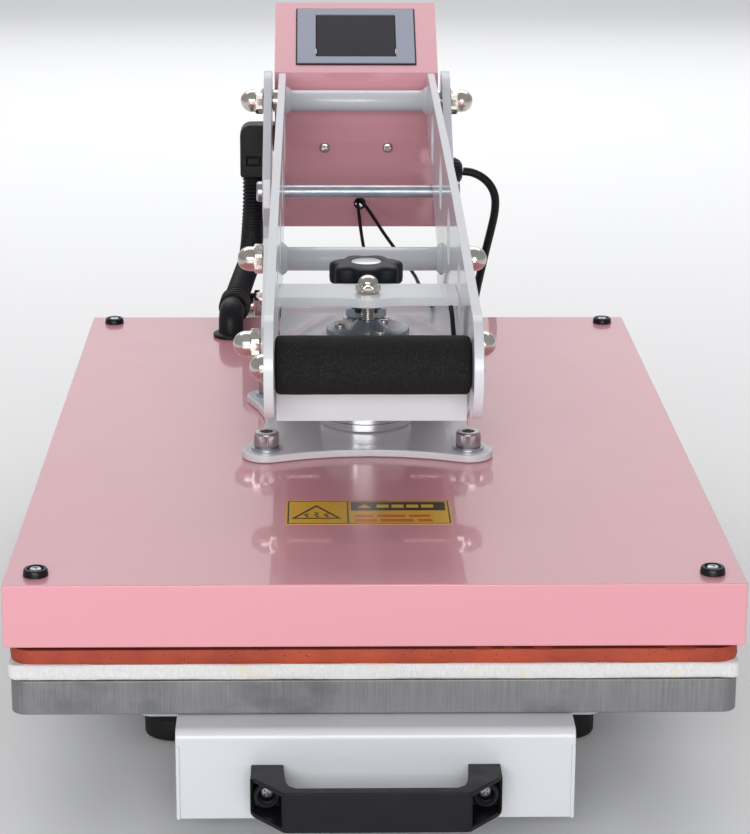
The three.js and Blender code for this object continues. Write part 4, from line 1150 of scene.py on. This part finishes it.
def make_pull():
    """A bow handle, with a hollow behind each slanted end for its screw."""
    low, high = span("pull_handle")
    wall, out = high.y, low.y
    outline = [(69.5, wall), (69.5, wall - 15), (67.6, wall - 19), (51.5, out + 0.8), (49.5, out),
               (-49.5, out),
               (-51.5, out + 0.8), (-67.6, wall - 19), (-69.5, wall - 15), (-69.5, wall), (-51.5, wall),
               (-50.8, wall - 12), (-49.8, wall - 23), (-48, wall - 28.5), (-44, wall - 31.4),
               (44, wall - 31.4),
               (48, wall - 28.5), (49.8, wall - 23), (50.8, wall - 12), (51.5, wall)]
    bm = bmesh.new()
    prism(bm, outline, low.z, high.z)
    grip = loose("bow_handle", bm)
    cutters = []
    for way in (-1, 1):
        hollow = [(way * 67.8, wall - 8.5), (way * 53.4, wall - 8.5), (way * 52.6, wall - 24),
                  (way * 51.6, out + 2.6), (way * 54, out - 6), (way * 84, wall - 24),
                  (way * 67.8, wall - 14)]
        cut = bmesh.new()
        prism(cut, hollow, low.z + 2.6, high.z - 2.6)
        cutters.append(loose("cutter", cut))
    settle(carve(grip, *cutters), L["black"], "drawer", replaces="pull_handle", slot="black_plastic",
           edge=0.8)
    for side, way in (("left", -1), ("right", 1)):
        bm = bmesh.new()
        x = way * 60.6
        z = (low.z + high.z) / 2
        lathe(bm, [(4.6, 0), (7.4, 0), (7.4, 7.4), (6.6, 8), (5.2, 8), (4.6, 7.2), (4.6, 0)],
              (x, wall - 8.7, z), (0, -1, 0), 48)
        piece(f"pull_boss_{side}", bm, L["black"], "drawer", slot="black_plastic")
        phillips(f"pull_screw_{side}", (x, wall - 9, z), (0, -1, 0), 4.2, 2.6, L["zinc"], "drawer", 0.8)


# --- Hose, wires and mains lead -----------------------------------------------------------------

HOSE_TOP = (-85.5, 395, 232)
HOSE_END = (-96, 202.7, 166)
HOSE_BEND = 62
MAGNET_WIRE_ROUTE = [
    (1.6, 365, 210.4), (1.6, 361, 210), (2.2, 348, 205.6), (3.4, 332, 196.4), (5, 316, 187.4),
    (6.8, 298, 180), (7.8, 276, 174.6), (8, 254, 171.4), (8, 234, 170), (8, 222, 170.8), (8, 214, 173),
]
SWITCH_WIRE_ROUTE = [
    (4.7, 365, 211.9), (4.9, 361, 211.9), (8.6, 350, 210.4), (15, 334, 203.4), (22.6, 317, 194.8),
    (31.4, 297, 186), (39.6, 272, 179.6), (44.8, 244, 176.8), (47, 212, 177.4), (48, 176, 182.6),
    (48, 136, 190), (48, 96, 197.6), (48, 56, 205.3), (48, 16, 213), (47, -18, 219.5),
    (46, -44, 225.4), (44.5, -60, 226.4),
]
CORD_ROUTE = [
    (90.6, 395, 232), (97.6, 395, 231.1), (104.6, 395.2, 228.2), (110.4, 395.7, 223.8),
    (114.9, 396.5, 218), (117.7, 397.5, 211.2), (118.6, 398.7, 203.5), (117.9, 400.2, 193.5),
    (115.6, 402, 181), (112.2, 404.2, 165), (108.4, 407, 146), (104.4, 411, 124), (101, 416, 101),
    (98.8, 424, 76), (98.4, 434, 55), (99.4, 447, 38), (101.2, 460, 25.5),
    (103.2, 472, 15.8), (105.6, 483, 8.8), (107.6, 492, 5.2), (108.8, 499.4, 4.1),
]
COIL_AT = (58, 518)
CORD_ACROSS = 7.0
COIL_IN, COIL_OUT = 38.2, 45.8
LAYER_LOW, LAYER_HIGH = 4.05, 11.65
PLUG_AT = (31, 582.6, 13.6)


def coil_route():
    """Four turns, two below and two above, and the way out to the plug."""
    points = []
    stations = [(-20.1, 54.1, LAYER_LOW), (45, COIL_OUT, LAYER_LOW), (330, COIL_OUT, LAYER_LOW),
                (390, COIL_IN, LAYER_LOW), (690, COIL_IN, LAYER_LOW), (750, COIL_IN, LAYER_HIGH),
                (1040, COIL_IN, LAYER_HIGH), (1100, COIL_OUT, LAYER_HIGH), (1448, COIL_OUT, LAYER_HIGH)]
    for (a0, r0, z0), (a1, r1, z1) in zip(stations, stations[1:]):
        count = max(2, round((a1 - a0) / 15))
        for i in range(1, count + 1):
            t = i / count
            s = t * t * (3 - 2 * t)
            angle = math.radians(a0 + (a1 - a0) * t)
            r, z = r0 + (r1 - r0) * s, z0 + (z1 - z0) * s
            points.append((COIL_AT[0] + r * math.cos(angle), COIL_AT[1] + r * math.sin(angle), z))
    x, y, z = points[-1]
    for t, lift in ((0.25, 0.3), (0.5, 0.8), (0.75, 1.4)):
        angle = math.radians(98 + 82 * t)
        points.append((x - 70 * (math.sin(math.radians(98)) - math.sin(angle)) * 0.99,
                       y + (PLUG_AT[1] - y) * (math.cos(math.radians(98)) - math.cos(angle))
                       / (math.cos(math.radians(98)) + 1), z + lift))
    points.append((PLUG_AT[0] + 5, PLUG_AT[1], PLUG_AT[2]))
    points.append((PLUG_AT[0] - 8, PLUG_AT[1], PLUG_AT[2]))
    return points


def hose_route():
    """Straight out of the upper elbow, a quarter turn forwards, then level to the lower elbow."""
    places = [(HOSE_TOP[1], HOSE_TOP[2])]
    for degrees in range(0, 91, 15):
        angle = math.radians(degrees)
        places.append((HOSE_TOP[1] - HOSE_BEND * (1 - math.cos(angle)),
                       HOSE_END[2] + HOSE_BEND * (1 - math.sin(angle))))
    places += [(y, HOSE_END[2]) for y in (300, 266, 234, HOSE_END[1])]
    slope = (HOSE_END[0] - HOSE_TOP[0]) / (HOSE_TOP[1] - HOSE_END[1])
    return [(HOSE_TOP[0] + slope * (HOSE_TOP[1] - y), y, z) for y, z in places]


def flexible(name, route, radius, look, node, slot, body=None, between=None, step=2.0, segments=14,
             across=None, **facts):
    """A tube along a route, hiding the CAD nodes it replaces. It rides on one body, or, when between is
    given, stays where it is in the world frame.
    """
    path = smooth_path(route, step)
    bm = bmesh.new()
    sweep(bm, path, radius, segments)
    tube = loose(name, bm)
    tube.data.materials.append(look)
    tube.data.set_sharp_from_angle(angle=math.radians(60))
    if between:
        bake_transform(tube)
    else:
        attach(tube, body)
    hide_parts(*([node] if isinstance(node, str) else node))
    return tube


def make_plug():
    x, y, z = PLUG_AT
    bm = bmesh.new()
    profile = [(0, 0), (4.6, 0)]
    for k in range(5):
        h = 2 + 4.6 * k
        profile += [(4.8 + 0.25 * k, h), (5.2 + 0.28 * k, h + 1), (5.2 + 0.28 * k, h + 2.6),
                    (4.6 + 0.25 * k, h + 3.2)]
    profile += [(6.2, 25.4), (9.2, 26.6), (9.6, 28), (9.4, 33), (10.2, 42), (11.6, 52), (13.1, 54.4),
                (13.5, 55.4),
                (13.5, 58.6), (12.9, 59.6), (11, 60), (0, 60)]
    lathe(bm, profile, (x, y, z), (-1, 0, 0), 64)
    body = piece("plug_body", bm, L["sheath"], "base", replaces="mains_plug", slot="cord_sheath", sharp=50)
    bm = bmesh.new()
    for side in (-1, 1):
        block(bm, x - 77, x - 59.5, y + side * 5.65 - 0.75, y + side * 5.65 + 0.75, z - 3.3, z + 3.3)
    pins = loose("plug_blades", bm)
    settle(pins, L["brass"], "base", slot="nickel", edge=0.4)
    bm = bmesh.new()
    lathe(bm, [(0, 59.5), (2.4, 59.5), (2.4, 78.6)] + dome(2.4, 78.6, 1.4, 4), (x, y, z + 8), (-1, 0, 0),
          24)
    earth = piece("plug_earth_pin", bm, L["brass"], "base", slot="nickel")
    return [body, pins, earth]


def make_tie(name, angle):
    """A twist tie round the four turns of the coil."""
    a = math.radians(angle)
    out = Vector((math.cos(a), math.sin(a), 0))
    centre = Vector((*COIL_AT, 0)) + out * (COIL_IN + COIL_OUT) / 2 + Vector((0, 0,
                                                                              (LAYER_LOW + LAYER_HIGH) / 2))
    loop = []
    for x, z in rounded(-7.9, 7.9, -7.75, 7.75, 4.2, 5):
        loop.append(centre + out * x + Vector((0, 0, z)))
    along = Vector((-math.sin(a), math.cos(a), 0))
    bm = bmesh.new()
    rings = []
    for s, grow in ((-2, 0), (-2, 0.45), (2, 0.45), (2, 0)):
        ring = []
        for p in loop:
            away = (p - centre)
            ring.append(bm.verts.new(p + away.normalized() * (grow - 0.35) + along * s))
        rings.append(ring)
    n = len(loop)
    for a_ring, b_ring in zip(rings, rings[1:] + rings[:1]):
        for i in range(n):
            bm.faces.new((a_ring[i], a_ring[(i + 1) % n], b_ring[(i + 1) % n], b_ring[i]))
    return piece(name, bm, L["sheath"], "base", slot="cord_sheath")


def make_cords():
    plug = make_plug()
    ties = [make_tie("cord_tie_1", 150), make_tie("cord_tie_2", 250)]
    flexible("mains_lead", CORD_ROUTE + coil_route(), CORD_ACROSS / 2, L["sheath"],
             ["mains_cable", "mains_coil"], "cord_sheath", body="base", segments=16,
             far_end="plug", stiffness="medium", lay="coiled", with_pieces=plug + ties)

    def corrugated(along):
        return 9.4 - 1.15 * (0.5 - 0.5 * math.cos(TURN * along / 3.3)) ** 1.4

    flexible("corrugated_hose", hose_route(), corrugated, L["black"], "conduit_hose", "black_hose",
             between=("base", "arm", (0, 0.385, 0.2), (0, 0.235, 0.17)), step=0.42, segments=36,
             across=18.2,
             far_end="object", stiffness="stiff", lay="hanging")
    flexible("magnet_lead", MAGNET_WIRE_ROUTE, 1.4, L["sheath"], "magnet_wire", "cord_sheath",
             between=("base", "arm", (0, 0.358, 0.21), (0, 0.225, 0.17)), far_end="object",
             stiffness="medium",
             lay="hanging")
    flexible("switch_lead", SWITCH_WIRE_ROUTE, 1.4, L["sheath"], "switch_wire", "cord_sheath",
             between=("base", "arm", (0, 0.358, 0.21), (0, 0.225, 0.17)), far_end="object",
             stiffness="medium",
             lay="hanging")


# --- Everything -------------------------------------------------------------------------------

make_camera()
L = make_looks()
make_cords()
make_studio()
make_head()
make_knob()
make_arm()
make_handle()
make_links()
make_base()
make_box()
make_drawer()
